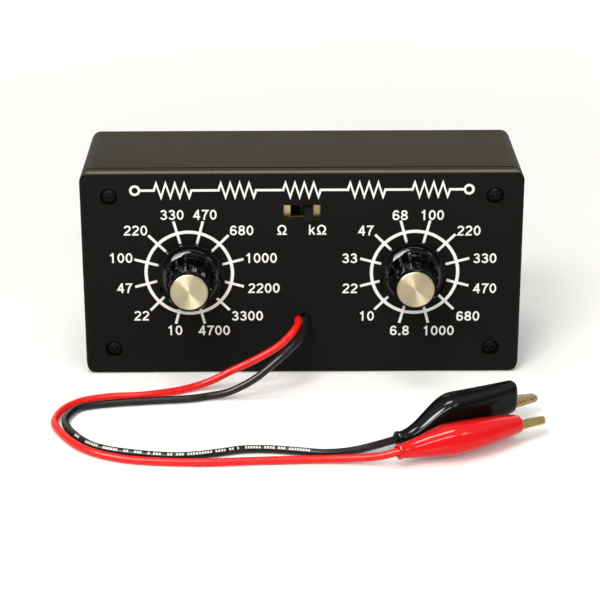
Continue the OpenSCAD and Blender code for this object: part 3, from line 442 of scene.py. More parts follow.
def addWorld(look):
    world = bpy.data.worlds.new("whiteRoom")
    world.use_nodes = True
    bpy.context.scene.world = world
    tree = world.node_tree
    tree.nodes.clear()
    output = tree.nodes.new("ShaderNodeOutputWorld")
    sky = addNode(tree, "ShaderNodeBackground", Color=(1.0, 1.0, 1.0, 1.0))
    heading = splitVector(tree, tree.nodes.new("ShaderNodeTexCoord").outputs["Generated"])
    behind = addRamp(tree, heading["Y"], look["wallFrom"], look["wallTo"])  # white wall behind the box
    lift = addMath(tree, "MULTIPLY", seenDirectly(tree), behind)
    lift = addMath(tree, "MULTIPLY", lift, 1.0 - look["worldLight"])
    tree.links.new(addMath(tree, "ADD", lift, look["worldLight"]), sky.inputs["Strength"])
    tree.links.new(sky.outputs[0], output.inputs["Surface"])


def addLamp(look, lookAt):
    data = bpy.data.lights.new(look["name"], "AREA")
    data.shape = "RECTANGLE"
    data.size = look["wide"]
    data.size_y = look["high"]
    data.energy = look["power"]
    data.color = look["colour"]
    lamp = bpy.data.objects.new(look["name"], data)
    aim = Vector(lookAt) - Vector(look["at"])
    turn = aim.to_track_quat("-Z", "Y").to_matrix().to_4x4()
    lamp.matrix_world = Matrix.Translation(look["at"]) @ turn
    lamp.visible_diffuse = not look.get("shineOnly", False)  # a card shows in polished surfaces only
    bpy.context.scene.collection.objects.link(lamp)


addFloor(stageLook)
addWorld(stageLook)
for lampLook in stageLook["lamps"]:
    addLamp(lampLook, stageLook["lampAim"])
print("camera, floor and lamps placed")


# mesh helpers
def makeObject(name, points, faces, body, material, smoothFaces=True):
    mesh = bpy.data.meshes.new(name)
    mesh.from_pydata([tuple(p) for p in points], [], faces)
    mesh.validate()
    for face in mesh.polygons:
        face.use_smooth = smoothFaces
    mesh.materials.append(material)
    piece = bpy.data.objects.new(name, mesh)
    bpy.context.scene.collection.objects.link(piece)
    if body:
        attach(piece, body)
    return piece


def smoothPath(points, steps):  # rounded path through the given points
    dense = []
    last = len(points) - 1
    for i in range(last):
        before, here = points[max(i - 1, 0)], points[i]
        there, after = points[i + 1], points[min(i + 2, last)]
        for k in range(steps):
            t = k / steps
            dense.append(0.5 * (
                2 * here + (there - before) * t
                + (2 * before - 5 * here + 4 * there - after) * t * t
                + (3 * here - before - 3 * there + after) * t * t * t))
    dense.append(points[last])
    return dense


def sweepTube(path, radius, sides, aside):  # rings of points along a path and the faces between them
    points = []
    for i, here in enumerate(path):
        along = (path[min(i + 1, len(path) - 1)] - path[max(i - 1, 0)]).normalized()
        across = along.cross(aside).normalized()
        lift = across.cross(along)
        for k in range(sides):
            angle = 2 * math.pi * k / sides
            points.append(here + radius * (math.cos(angle) * across + math.sin(angle) * lift))
    faces = [
        (i * sides + k, i * sides + (k + 1) % sides, (i + 1) * sides + (k + 1) % sides, (i + 1) * sides + k)
        for i in range(len(path) - 1) for k in range(sides)]
    faces += [tuple(reversed(range(sides))), tuple(range((len(path) - 1) * sides, len(path) * sides))]
    return points, faces


# clip frames, shared by leads and boots; a bend is sideways and up at the neck, sideways at the mouth
clips = {
    "red": {"hinge": (55.3, -90.1, 6.0291), "turn": (-111.0, 0.0, 25.0), "bend": (0.5, 0.0, -0.4)},
    "black": {"hinge": (55.2, -74.3, 7.2166), "turn": (0.0, 1.5, 28.0), "bend": (0.0, -4.8, 0.0)},
}
bootShape = {
    "back": -28.5, "neckFront": -27.0, "sideHump": -10.5, "humpBack": -7.0, "humpFront": -5.0,
    "front": 16.0, "neck": 2.4, "humpHigh": 7.3, "humpWide": 5.1, "mouthHigh": 5.3, "mouthWide": 3.0,
    "mouthRise": 2.3, "power": 3.0, "bore": 1.6, "humpWall": 0.8, "mouthWall": 0.5, "sideEdge": 0.9,
    "lip": 0.2, "lipLength": 1.0, "lipEdge": 0.25, "lipFall": 0.15, "lipStep": 0.3,
    "mouthRound": 0.5, "mouthEdge": [(0.15, 0.05), (0.0, 0.18)],
    "outerRings": 56, "innerRings": 24, "sides": 72, "sharpDegrees": 50,
}


def clipMatrix(colour):
    clip = clips[colour]
    roll, tilt, heading = (math.radians(a) for a in clip["turn"])
    turn = Matrix.Rotation(heading, 4, "Z") @ Matrix.Rotation(tilt, 4, "Y") @ Matrix.Rotation(roll, 4, "X")
    return Matrix.Translation(Vector(clip["hinge"]) * mm) @ turn


def within(t):
    return min(max(t, 0.0), 1.0)


def ease(t):
    return (1 - math.cos(math.pi * within(t))) / 2


def fall(t):
    return 1 - math.cos(math.pi / 2 * within(t))


def swell(x, humpX):
    return within((x - bootShape["neckFront"]) / (humpX - bootShape["neckFront"]))


def taper(x, humpX):
    return within((x - humpX) / (bootShape["front"] - humpX))


def bootMiddle(x, bend):
    s = bootShape
    back = 1 - ease(swell(x, s["humpBack"]))
    lean = bend[2] * ease(taper(x, s["sideHump"]))
    return bend[0] * back + lean, bend[1] * back + s["mouthRise"] * fall(taper(x, s["humpFront"]))


# leads
leadLook = {
    "diameter": 2.6,
    "sides": 20,
    "steps": 8,
    "startY": -7.5,
    "bendX": -22.0,
    "crimpLevelX": -16.0,
    "crimpBackX": -17.0,
    "endX": -14.0,
    "red": {
        "start": (-1.5, 20.0),
        "route": [
            (-1.5, -16, 20), (-1.5, -25, 20), (-1.5, -29, 20), (-3.5, -33.5, 18.5), (-7.5, -36.5, 15.5),
            (-12, -38, 13), (-18, -39, 10), (-24.5, -39.5, 7), (-30.5, -40, 4), (-36, -40.5, 2),
            (-42, -43, 1.4), (-48.5, -45.5, 1.4), (-55.5, -47.5, 1.4), (-65.5, -48.5, 1.4), (-75, -52, 1.4),
            (-80.5, -58.5, 1.4), (-82.5, -66, 1.4), (-82, -72, 1.4), (-78.5, -79.5, 1.4), (-74, -86.5, 1.4),
            (-68.5, -92, 1.4), (-61.5, -96, 1.4), (-51.5, -99, 1.4), (-33, -100.5, 1.4), (-15, -99.5, 1.4),
            (4, -98.8, 1.5), (16, -99.6, 2.2), (24, -101, 3.5)],
    },
    "black": {
        "start": (1.5, 20.0),
        "route": [
            (1.5, -16, 20), (1.5, -25, 20), (1.5, -30, 20), (0.5, -36, 19), (-2.5, -41, 17.5),
            (-6.5, -44.5, 15), (-11, -46.5, 11.5), (-15.5, -47.5, 8), (-20.5, -48, 5), (-26, -48, 2.5),
            (-32, -48.5, 1.5), (-39, -50.5, 1.4), (-51.5, -52, 1.4), (-65, -54, 1.4), (-74.5, -57, 1.4),
            (-78, -62.5, 1.4), (-79, -69.5, 1.4), (-76, -77.5, 1.4), (-70.5, -85.5, 1.4),
            (-65.5, -89.5, 1.4), (-58.5, -92.5, 1.4), (-45.5, -95.5, 1.4), (-36.5, -95.5, 1.4),
            (-28, -93.5, 1.4), (-19.5, -91, 1.4), (-10.5, -91, 1.4), (-2, -92.5, 1.4),
            (6.5, -94, 1.4), (15, -93, 1.6), (23, -91, 2.6)],
    },
}
leadFinish = {
    "vinyl": {
        "specular": 0.28, "roughness": 0.28, "smudge": 0.14, "smudgeScale": 120.0,
        "grainScale": 700.0, "grainSoftness": 0.3, "grainDepth": 0.06, "grainHeight": 0.00004},
    "red": {"colour": (0.86, 0.014, 0.01), "shade": (0.78, 0.01, 0.008)},
    "black": {
        "colour": (0.006, 0.006, 0.006), "shade": (0.01, 0.01, 0.0095), "ink": (0.7, 0.7, 0.66),
        "dashes": {
            "from": 0.14, "to": 0.222, "cell": 0.0009, "filled": 0.7, "gaps": 0.3, "side": 0.15,
            "half": 0.055}},
}


def makeDashMask(tree, dashes):  # plain broken dashes along one side of the lead
    travelled, around, _ = splitVector(tree, addNode(tree, "ShaderNodeUVMap", uv_map="leadMap").outputs[0])
    cells = addMath(tree, "DIVIDE", travelled, dashes["cell"])
    chance = addNode(tree, "ShaderNodeTexWhiteNoise", noise_dimensions="1D")
    tree.links.new(addMath(tree, "FLOOR", cells), chance.inputs["W"])
    aside = addMath(tree, "ABSOLUTE", addMath(tree, "SUBTRACT", around, dashes["side"]))
    mask = addMath(tree, "GREATER_THAN", chance.outputs["Value"], dashes["gaps"])
    for test in (
            addMath(tree, "LESS_THAN", addMath(tree, "FRACT", cells), dashes["filled"]),
            addMath(tree, "LESS_THAN", aside, dashes["half"]),
            addMath(tree, "GREATER_THAN", travelled, dashes["from"]),
            addMath(tree, "LESS_THAN", travelled, dashes["to"])):
        mask = addMath(tree, "MULTIPLY", mask, test)
    return mask


def makeVinyl(name, vinyl, look):  # glossy insulation
    material, tree, shader = newFinish(name, {"Specular IOR Level": vinyl["specular"]})
    smudge, bump = addSkin(tree, vinyl)
    colour = addMix(tree, smudge.outputs["Mask"], look["colour"], look["shade"])
    if "dashes" in look:
        colour = addMix(tree, makeDashMask(tree, look["dashes"]), colour, look["ink"])
    joinShader(tree, shader, colour, smudge, bump)
    return material


def addLead(colour):
    look = leadLook[colour]
    matrix = clipMatrix(colour)
    bend = clips[colour]["bend"]
    points = [Vector((look["start"][0], leadLook["startY"], look["start"][1])) * mm]
    points += [Vector(p) * mm for p in look["route"]]
    neck = (bootShape["back"], bootShape["neckFront"])
    points += [matrix @ (Vector((x, *bend[:2])) * mm) for x in neck]
    points.append(matrix @ (Vector((leadLook["bendX"], *bootMiddle(leadLook["bendX"], bend))) * mm))
    crimp = bootMiddle(leadLook["crimpLevelX"], bend)
    points += [matrix @ (Vector((x, *crimp)) * mm) for x in (leadLook["crimpBackX"], leadLook["endX"])]
    path = smoothPath(points, leadLook["steps"])
    sides = leadLook["sides"]
    rings, faces = sweepTube(path, leadLook["diameter"] / 2 * mm, sides, Vector((0, 0, 1)))
    travelled = [0.0]
    for before, here in zip(path, path[1:]):
        travelled.append(travelled[-1] + (here - before).length)
    material = makeVinyl(colour + "LeadVinyl", leadFinish["vinyl"], leadFinish[colour])
    lead = makeObject(colour + "LeadWire", rings, faces, "case", material)
    layer = lead.data.uv_layers.new(name="leadMap")
    for face in lead.data.polygons:
        for corner in face.loop_indices:
            point = lead.data.loops[corner].vertex_index
            turn = (point % sides) / sides
            wrapped = face.index % sides == sides - 1 and point % sides == 0
            layer.data[corner].uv = (travelled[point // sides], 1.0 if wrapped else turn)
    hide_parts(colour + "_lead")
    return lead, path, travelled[-1]


leads = {colour: addLead(colour) for colour in clips}
print("leads:", {colour: round(lead[2], 4) for colour, lead in leads.items()})


# clip boots
bootFinish = {
    "red": {
        "colour": (0.74, 0.005, 0.007), "shade": (0.64, 0.003, 0.005), "worn": (0.8, 0.03, 0.03),
        "roughness": 0.13, "smudge": 0.08, "smudgeScale": 90.0, "grainScale": 420.0, "grainDepth": 0.05,
        "rub": 0.1, "specular": 0.3, "shoulderCoat": 0.9},
    "black": {
        "colour": (0.003, 0.003, 0.003), "shade": (0.0045, 0.0045, 0.0042), "worn": (0.03, 0.03, 0.028),
        "roughness": 0.14, "smudge": 0.08, "smudgeScale": 90.0, "grainScale": 420.0, "grainDepth": 0.05,
        "rub": 0.1, "specular": 0.12, "shoulderCoat": 1.0},
}


def bootHigh(x, neck, hump, mouth):
    s = bootShape
    if x < s["humpBack"]:
        return neck + (hump - neck) * ease(swell(x, s["humpBack"]))
    return hump + (mouth - hump) * fall(taper(x, s["humpFront"]))


def bootWide(x, neck, hump, mouth):
    s = bootShape
    t = swell(x, s["sideHump"])
    if x < s["sideHump"]:
        return neck + (hump - neck) * ((1 - s["sideEdge"]) * ease(t) + s["sideEdge"] * t)
    return hump + (mouth - hump) * fall(taper(x, s["sideHump"]))


def bootRing(x, high, wide, bend):
    s = bootShape
    power = 2 + (s["power"] - 2) * ease(swell(x, s["humpBack"]))
    midY, midZ = bootMiddle(x, bend)
    ring = []
    for k in range(s["sides"]):
        angle = 2 * math.pi * k / s["sides"]
        c, q = math.cos(angle), math.sin(angle)
        ring.append(Vector((
            x,
            midY + wide * math.copysign(abs(c) ** (2 / power), c),
            midZ + high * math.copysign(abs(q) ** (2 / power), q))) * mm)
    return ring


def addBoot(colour):
    s = bootShape
    bend = clips[colour]["bend"]
    edge, lipEnd = s["lipEdge"], s["back"] + s["lipLength"]
    outerStations = [
        (s["back"], -edge), (s["back"] + edge, 0.0), (lipEnd - edge, 0.0), (lipEnd, -s["lipFall"]),
        (lipEnd + edge, -s["lip"])]
    for i in range(1, s["outerRings"] + 1):
        run = s["front"] - s["mouthRound"] - lipEnd - s["lipStep"]
        outerStations.append((lipEnd + s["lipStep"] + run * i / s["outerRings"], -s["lip"]))
    rings = []
    for x, trim in outerStations:
        neck = s["neck"] + s["lip"] + trim
        high = bootHigh(x, neck, s["humpHigh"], s["mouthHigh"])
        rings.append(bootRing(x, high, bootWide(x, neck, s["humpWide"], s["mouthWide"]), bend))
    for behind, inset in s["mouthEdge"]:
        high, wide = s["mouthHigh"] - inset, s["mouthWide"] - inset
        rings.append(bootRing(s["front"] - behind, high, wide, bend))
    for i in range(s["innerRings"] + 1):
        x = s["front"] + (s["back"] - s["front"]) * i / s["innerRings"]
        high = bootHigh(x, s["bore"], s["humpHigh"] - s["humpWall"], s["mouthHigh"] - s["mouthWall"])
        wide = bootWide(x, s["bore"], s["humpWide"] - s["humpWall"], s["mouthWide"] - s["mouthWall"])
        rings.append(bootRing(x, high, wide, bend))
    sides = s["sides"]
    matrix = clipMatrix(colour)
    points = [matrix @ p for ring in rings for p in ring]
    faces = [
        (i * sides + k, ((i + 1) % len(rings)) * sides + k,
         ((i + 1) % len(rings)) * sides + (k + 1) % sides, i * sides + (k + 1) % sides)
        for i in range(len(rings)) for k in range(sides)]
    material = makePlastic(colour + "BootVinyl", bootFinish[colour])
    boot = makeObject(colour + "ClipBoot", points, faces, "case", material)
    boot.data.set_sharp_from_angle(angle=math.radians(s["sharpDegrees"]))
    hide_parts(colour + "_clip_boot")
    return boot


# hinge springs: one leg on the lower handle, the other on the upper jaw
springShape = {
    "radius": 1.45, "wire": 0.25, "halfWide": 0.55, "turns": 2, "leave": 75.0, "legX": -8.0, "legZ": 3.993,
    "steps": 96, "sides": 12,
}
springFinish = {
    "colour": (0.55, 0.55, 0.55), "shade": (0.4, 0.4, 0.4), "roughness": 0.3, "smudge": 0.15,
    "stretch": (1, 1, 1), "lineScale": 900.0, "lineDepth": 0.08,
}


def addSpring(colour, material):
    s = springShape
    matrix = clipMatrix(colour)
    sweep = 2 * s["leave"] + 360 * s["turns"]
    path = [Vector((s["legX"], -s["halfWide"], s["legZ"]))]
    for i in range(s["steps"] + 1):
        angle = math.radians(s["leave"] - i * sweep / s["steps"])
        side = s["halfWide"] * (2 * i / s["steps"] - 1)
        path.append(Vector((s["radius"] * math.cos(angle), side, s["radius"] * math.sin(angle))))
    path.append(Vector((s["legX"], s["halfWide"], -s["legZ"])))
    path = [matrix @ (p * mm) for p in path]
    points, faces = sweepTube(path, s["wire"] * mm, s["sides"], matrix.to_3x3() @ Vector((0, 1, 0)))
    spring = makeObject(colour + "ClipSpring", points, faces, None, material)
    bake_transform(spring)
    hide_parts(colour + "_clip_spring")
    return spring


springWire = makeMetal("springWire", springFinish)
springs = {colour: addSpring(colour, springWire) for colour in clips}
boots = {colour: addBoot(colour) for colour in clips}


# finishes of the carried-over parts
finishes = {
    "casePlastic": {
        "nodes": ["case_box", "front_panel"],
        "colour": (0.0062, 0.0064, 0.006), "shade": (0.0078, 0.0079, 0.0073), "worn": (0.03, 0.03, 0.026),
        "roughness": 0.45, "smudge": 0.1, "smudgeScale": 30.0, "grainScale": 1500.0, "grainDepth": 0.5,
        "rub": 0.25, "rubWidth": 0.0005, "specular": 0.045,
        # dust film and painted sheen on the top
        "filmAndPaintedSheen": (0.026, 0.0185, 0.002), "filmAndPaintedSheenAmount": 0.85, "filmAndPaintedSheenScale": 700.0,
        # painted highlight along the rounded top front edge
        "paintedHighlight": (0.17, 0.165, 0.12), "paintedHighlightAmount": 0.75},
    "knobMoulding": {
        "nodes": ["left_knob", "right_knob"],
        "colour": (0.0015, 0.0015, 0.0015), "shade": (0.0025, 0.0025, 0.0025),
        "worn": (0.015, 0.015, 0.015), "roughness": 0.05, "smudge": 0.04, "smudgeScale": 90.0,
        "grainScale": 500.0, "grainDepth": 0.03, "rub": 0.15, "specular": 0.08, "flankCoat": 1.0},
    "sliderPlastic": {
        "nodes": ["slide_switch_slider"],
        "colour": (0.006, 0.006, 0.006), "shade": (0.01, 0.01, 0.01), "worn": (0.04, 0.04, 0.04),
        "roughness": 0.32, "smudge": 0.1, "grainScale": 900.0, "grainDepth": 0.1, "rub": 0.3,
        "specular": 0.1},
    "blackSheet": {
        "nodes": ["slide_switch_base"],
        "colour": (0.012, 0.011, 0.01), "shade": (0.018, 0.016, 0.014), "worn": (0.06, 0.05, 0.04),
        "roughness": 0.5, "smudge": 0.15, "smudgeScale": 160.0, "grainScale": 700.0, "grainDepth": 0.1,
        "specular": 0.08},
    "switchMoulding": {
        "nodes": ["left_switch_housing", "right_switch_housing"],
        "colour": (0.05, 0.045, 0.042), "shade": (0.065, 0.06, 0.055), "worn": (0.12, 0.11, 0.1),
        "roughness": 0.5, "smudge": 0.1, "grainScale": 900.0, "grainDepth": 0.12},
    "phenolicSheet": {
        "nodes": ["left_switch_base", "right_switch_base"],
        "colour": (0.2, 0.09, 0.035), "shade": (0.26, 0.13, 0.055), "worn": (0.4, 0.25, 0.13),
        "roughness": 0.48, "smudge": 0.16, "smudgeScale": 160.0, "grainScale": 700.0, "grainDepth": 0.1},
    "boardResist": {
        "nodes": ["circuit_board"],
        "colour": (0.02, 0.12, 0.035), "shade": (0.03, 0.16, 0.05), "worn": (0.45, 0.4, 0.22),
        "roughness": 0.34, "smudge": 0.12, "grainScale": 800.0, "grainDepth": 0.06, "rub": 0.8},
    "tieNylon": {
        "nodes": ["lead_tie"],
        "colour": (0.7, 0.7, 0.66), "shade": (0.62, 0.62, 0.57), "worn": (0.8, 0.8, 0.78),
        "roughness": 0.42, "smudge": 0.1, "grainScale": 900.0, "grainDepth": 0.08},
}
metals = {
    "blackScrew": {
        "nodes": ["panel_screws", "left_knob_set_screw", "right_knob_set_screw"],
        "colour": (0.008, 0.008, 0.009), "shade": (0.018, 0.018, 0.018), "roughness": 0.36, "smudge": 0.2,
        "stretch": (1, 1, 1), "lineScale": 900.0, "lineDepth": 0.1},
    "tinnedPins": {
        "nodes": [
            "left_switch_terminals", "right_switch_terminals", "slide_switch_terminals", "range_wires"],
        "colour": (0.7, 0.7, 0.69), "shade": (0.55, 0.55, 0.53), "roughness": 0.32, "smudge": 0.2,
        "stretch": (1, 0.1, 1), "lineScale": 900.0, "lineDepth": 0.1},
    "nickelPlate": {
        "nodes": [
            "left_switch_washer", "right_switch_washer", "left_switch_nut", "right_switch_nut",
            "red_clip_pin", "black_clip_pin"],
        "colour": (0.68, 0.66, 0.61), "shade": (0.55, 0.53, 0.49), "roughness": 0.25, "smudge": 0.15,
        "stretch": (1, 1, 0.1), "lineScale": 700.0, "lineDepth": 0.08},
    "turnedShaft": {
        "nodes": ["left_switch_shaft", "right_switch_shaft"],
        "colour": (0.72, 0.72, 0.72), "shade": (0.6, 0.6, 0.6), "roughness": 0.28, "smudge": 0.12,
        "stretch": (0.1, 3, 0.1), "lineScale": 500.0, "lineDepth": 0.12},
    "springBronze": {
        "nodes": ["left_switch_wiper", "right_switch_wiper", "slide_switch_contact"],
        "colour": (0.66, 0.36, 0.17), "shade": (0.5, 0.27, 0.12), "roughness": 0.3, "smudge": 0.2,
        "stretch": (1, 1, 0.1), "lineScale": 800.0, "lineDepth": 0.08},
    "turnedBrass": {
        "nodes": ["left_knob_insert", "right_knob_insert"],
        "colour": (0.7, 0.5, 0.2), "shade": (0.58, 0.4, 0.15), "roughness": 0.26, "smudge": 0.14,
        "stretch": (0.1, 3, 0.1), "lineScale": 500.0, "lineDepth": 0.12},
    "yellowZinc": {
        "nodes": ["slide_switch_frame"],
        "colour": (0.5, 0.42, 0.2), "shade": (0.4, 0.33, 0.14), "roughness": 0.36, "smudge": 0.2,
        "stretch": (0.2, 1, 1), "lineScale": 900.0, "lineDepth": 0.1},
    # red clip's jaws: the plating painted lighter, as painted light; its gap colour is painted shade
    "plateWithPaintedLight": {
        "nodes": ["red_clip_lower_jaw", "red_clip_upper_jaw"],
        "colour": (0.97, 0.72, 0.31), "shade": (0.62, 0.43, 0.16), "roughness": 0.2, "smudge": 0.2,
        "gapPaintedShadeColour": (0.03, 0.022, 0.012), "gapReach": 0.0008, "edgeRound": 0.0006,
        "stretch": (0.3, 0.3, 1), "lineScale": 900.0, "lineDepth": 0.08},
    # black clip's jaws: the same plating painted darker, as painted shade; its gap colour is painted shade
    "plateWithPaintedShade": {
        "nodes": ["black_clip_lower_jaw", "black_clip_upper_jaw"],
        "colour": (0.44, 0.33, 0.15), "shade": (0.2, 0.145, 0.06), "roughness": 0.24, "smudge": 0.2,
        "gapPaintedShadeColour": (0.02, 0.015, 0.008), "gapReach": 0.0008, "edgeRound": 0.0004,
        "stretch": (0.3, 0.3, 1), "lineScale": 900.0, "lineDepth": 0.08},
}
smoothDegrees = 35
for name, look in finishes.items():
    dress(makePlastic(name, look), *look["nodes"])
for name, look in metals.items():
    dress(makeMetal(name, look), *look["nodes"])
for name in nodes:
    smooth(name, smoothDegrees)


# resistors: lacquered bodies with colour bands, tinned wires
resistorLook = {
    "ring": 20.0, "bodyHalf": 3.15, "lacquer": (0.33, 0.52, 0.62), "shadeShare": 0.85,
    "wire": (0.7, 0.7, 0.69), "coat": 0.3, "roughness": 0.3, "smudge": 0.15, "smudgeScale": 200.0,
    "grainScale": 900.0, "grainSoftness": 0.4, "grainDepth": 0.08, "grainHeight": 0.00004,
    "bands": [  # place along the body, half width, paint
        (-2.4, 0.5, (0.25, 0.08, 0.02)), (-1.1, 0.35, (0.02, 0.02, 0.02)),
        (-0.2, 0.35, (0.6, 0.03, 0.02)), (2.4, 0.5, (0.6, 0.42, 0.12))],
}


def fromDialAxis(tree, side):  # vector from the dial's axis, flat on the panel
    centre = (side * dialX * mm, 0.0, dialZ * mm)
    centred = addVectorMath(tree, "SUBTRACT", objectPlace(tree), centre)
    return addVectorMath(tree, "MULTIPLY", centred, (1.0, 0.0, 1.0))


def makeResistor(name, side, look):
    material, tree, shader = newFinish(name, {"Coat Weight": look["coat"]})
    smudge, bump = addSkin(tree, look)
    radius = addVectorMath(tree, "LENGTH", fromDialAxis(tree, side))
    along = addMath(tree, "SUBTRACT", radius, look["ring"] * mm)
    shade = tuple(look["shadeShare"] * c for c in look["lacquer"])
    colour = addMix(tree, smudge.outputs["Mask"], look["lacquer"], shade)
    for at, half, paint in look["bands"]:
        near = addMath(tree, "ABSOLUTE", addMath(tree, "SUBTRACT", along, at * mm))
        colour = addMix(tree, addMath(tree, "LESS_THAN", near, half * mm), colour, paint)
    bare = addMath(tree, "GREATER_THAN", addMath(tree, "ABSOLUTE", along), look["bodyHalf"] * mm)
    tree.links.new(bare, shader.inputs["Metallic"])
    joinShader(tree, shader, addMix(tree, bare, colour, look["wire"]), smudge, bump)
    return material


dress(makeResistor("ohmResistorLacquer", -1, resistorLook), "ohm_resistors")
dress(makeResistor("kilohmResistorLacquer", 1, resistorLook), "kilohm_resistors")


# knob caps: turned metal, whose fine rings spread the light outwards from the middle
capLook = {
    "colour": (0.59, 0.535, 0.357), "shade": (0.485, 0.433, 0.285), "roughness": 0.47, "smudge": 0.08,
    "smudgeScale": 150.0, "anisotropy": 0.86, "ringScale": 9000.0, "ringDepth": 0.12, "ringHeight": 0.00002,
}


def makeTurnedCap(name, side, look):
    material, tree, shader = newFinish(name, {"Metallic": 1.0, "Anisotropic": look["anisotropy"]})
    outward = fromDialAxis(tree, side)
    turned = addNode(
        tree, "ShaderNodeVectorTransform", vector_type="VECTOR", convert_from="OBJECT", convert_to="WORLD")
    tree.links.new(outward, turned.inputs[0])
    tree.links.new(addVectorMath(tree, "NORMALIZE", turned.outputs[0]), shader.inputs["Tangent"])
    rings = addNode(
        tree, "ShaderNodeTexNoise", noise_dimensions="1D", Scale=look["ringScale"], Detail=3.0)
    tree.links.new(addVectorMath(tree, "LENGTH", outward), rings.inputs["W"])
    smudge = placeGroup(
        tree, smudgeGroup, Roughness=look["roughness"], Amount=look["smudge"], Scale=look["smudgeScale"])
    colour = addMix(tree, rings.outputs[0], look["colour"], look["shade"])
    bump = addBump(tree, rings.outputs[0], look["ringDepth"], look["ringHeight"])
    joinShader(tree, shader, colour, smudge, bump)
    return material


dress(makeTurnedCap("leftCapMetal", -1, capLook), "left_knob_cap")
dress(makeTurnedCap("rightCapMetal", 1, capLook), "right_knob_cap")
print("finishes set")


# white print on the panel
printLook = {
    "proud": 0.02, "layer": 0.004, "layers": 4, "mitreLimit": 2.4,
    "ringOuter": 15.5, "ringLine": 1.12, "tickFrom": 11.1, "tickTo": 19.5, "tickLine": 0.92,
    "positions": 12, "step": 30.0, "digitHigh": 3.65, "digitLine": 0.158, "digitAdvance": 0.775,
    "colour": (0.9, 0.9, 0.87), "shade": (0.83, 0.83, 0.79), "specular": 0.3, "roughness": 0.5,
    "smudge": 0.1, "smudgeScale": 220.0, "grainScale": 1500.0, "grainDepth": 0.12, "grainHeight": 0.00003,
}
dials = {
    "left": {
        "x": -39.05, "z": 37.75,
        "labels": [("10", -5.5, -21.3), ("22", -16.9, -15.8), ("47", -22.5, -5.5), ("100", -23.5, 5.6),
                   ("220", -18.1, 15.6), ("330", -5.5, 21.2), ("470", 5.8, 21.2), ("680", 18.3, 15.5),
                   ("1000", 24.9, 5.4), ("2200", 25.8, -5.7), ("3300", 19.9, -16.0), ("4700", 8.3, -21.4)]},
    "right": {
        "x": 38.9, "z": 37.7,
        "labels": [("6.8", -4.9, -21.7), ("10", -16.5, -16.2), ("22", -22.3, -5.9), ("33", -22.5, 5.2),
                   ("47", -17.0, 15.3), ("68", -5.3, 20.8), ("100", 5.7, 20.8), ("220", 18.4, 15.1),
                   ("330", 24.2, 5.0), ("470", 24.5, -6.1), ("680", 18.9, -16.4), ("1000", 8.7, -21.8)]},
}
rangeMarks = [("Ω", -6.9, 53.35), ("kΩ", 5.35, 53.35)]


def makeInk(look):
    material, tree, shader = newFinish("panelInk", {"Specular IOR Level": look["specular"]})
    smudge, bump = addSkin(tree, look)
    colour = addMix(tree, smudge.outputs["Mask"], look["shade"], look["colour"])
    joinShader(tree, shader, colour, smudge, bump)
    return material


inkMaterial = makeInk(printLook)


def arc(x, z, wide, high, start, end, count=14):
    turns = [math.radians(start + (end - start) * k / count) for k in range(count + 1)]
    return [(x + wide * math.cos(a), z + high * math.sin(a)) for a in turns]


def ring(x, z, wide, high, count=28):  # a closed stroke
    return arc(x, z, wide, high, 0, 360, count)[:-1], True


def line(*points):  # an open stroke
    return list(points), False


# strokes of the figures, on a height of 1
glyphs = {
    "0": [ring(0.39, 0.5, 0.245, 0.413)],
    "1": [line((0.42, 0.0), (0.42, 1.0)), line((0.16, 0.755), (0.3, 0.77), (0.39, 0.84), (0.4, 0.93))],
    "2": [line(
        *arc(0.39, 0.695, 0.245, 0.218, 170, -32), (0.49, 0.46), (0.24, 0.25), (0.145, 0.088),
        (0.66, 0.088))],
    "3": [
        line(*arc(0.38, 0.715, 0.215, 0.197, 165, -70)), line(*arc(0.385, 0.295, 0.25, 0.207, 75, -165)),
        line((0.32, 0.525), (0.44, 0.525))],
    "4": [line((0.53, 0.0), (0.53, 1.0)), line((0.5, 0.93), (0.14, 0.31), (0.71, 0.31))],
    "6": [ring(0.39, 0.315, 0.245, 0.227), line(*arc(0.41, 0.53, 0.265, 0.383, 205, 35))],
    "7": [line((0.1, 0.912), (0.65, 0.912), (0.45, 0.6), (0.33, 0.27), (0.3, 0.0))],
    "8": [ring(0.39, 0.722, 0.213, 0.19), ring(0.39, 0.293, 0.247, 0.205)],
    ".": [line((0.195, 0.0), (0.195, 0.2))],
    "k": [line((0.15, 0.0), (0.15, 1.0)), line((0.58, 0.74), (0.2, 0.33)), line((0.34, 0.42), (0.6, 0.0))],
    "Ω": [line(
        (0.08, 0.085), (0.4, 0.085), *arc(0.525, 0.57, 0.345, 0.345, 240, -60, 24),
        (0.65, 0.085), (0.97, 0.085))],
}
advances = {".": 0.39, "k": 0.74, "Ω": 1.05}
lineWidths = {".": 0.2}


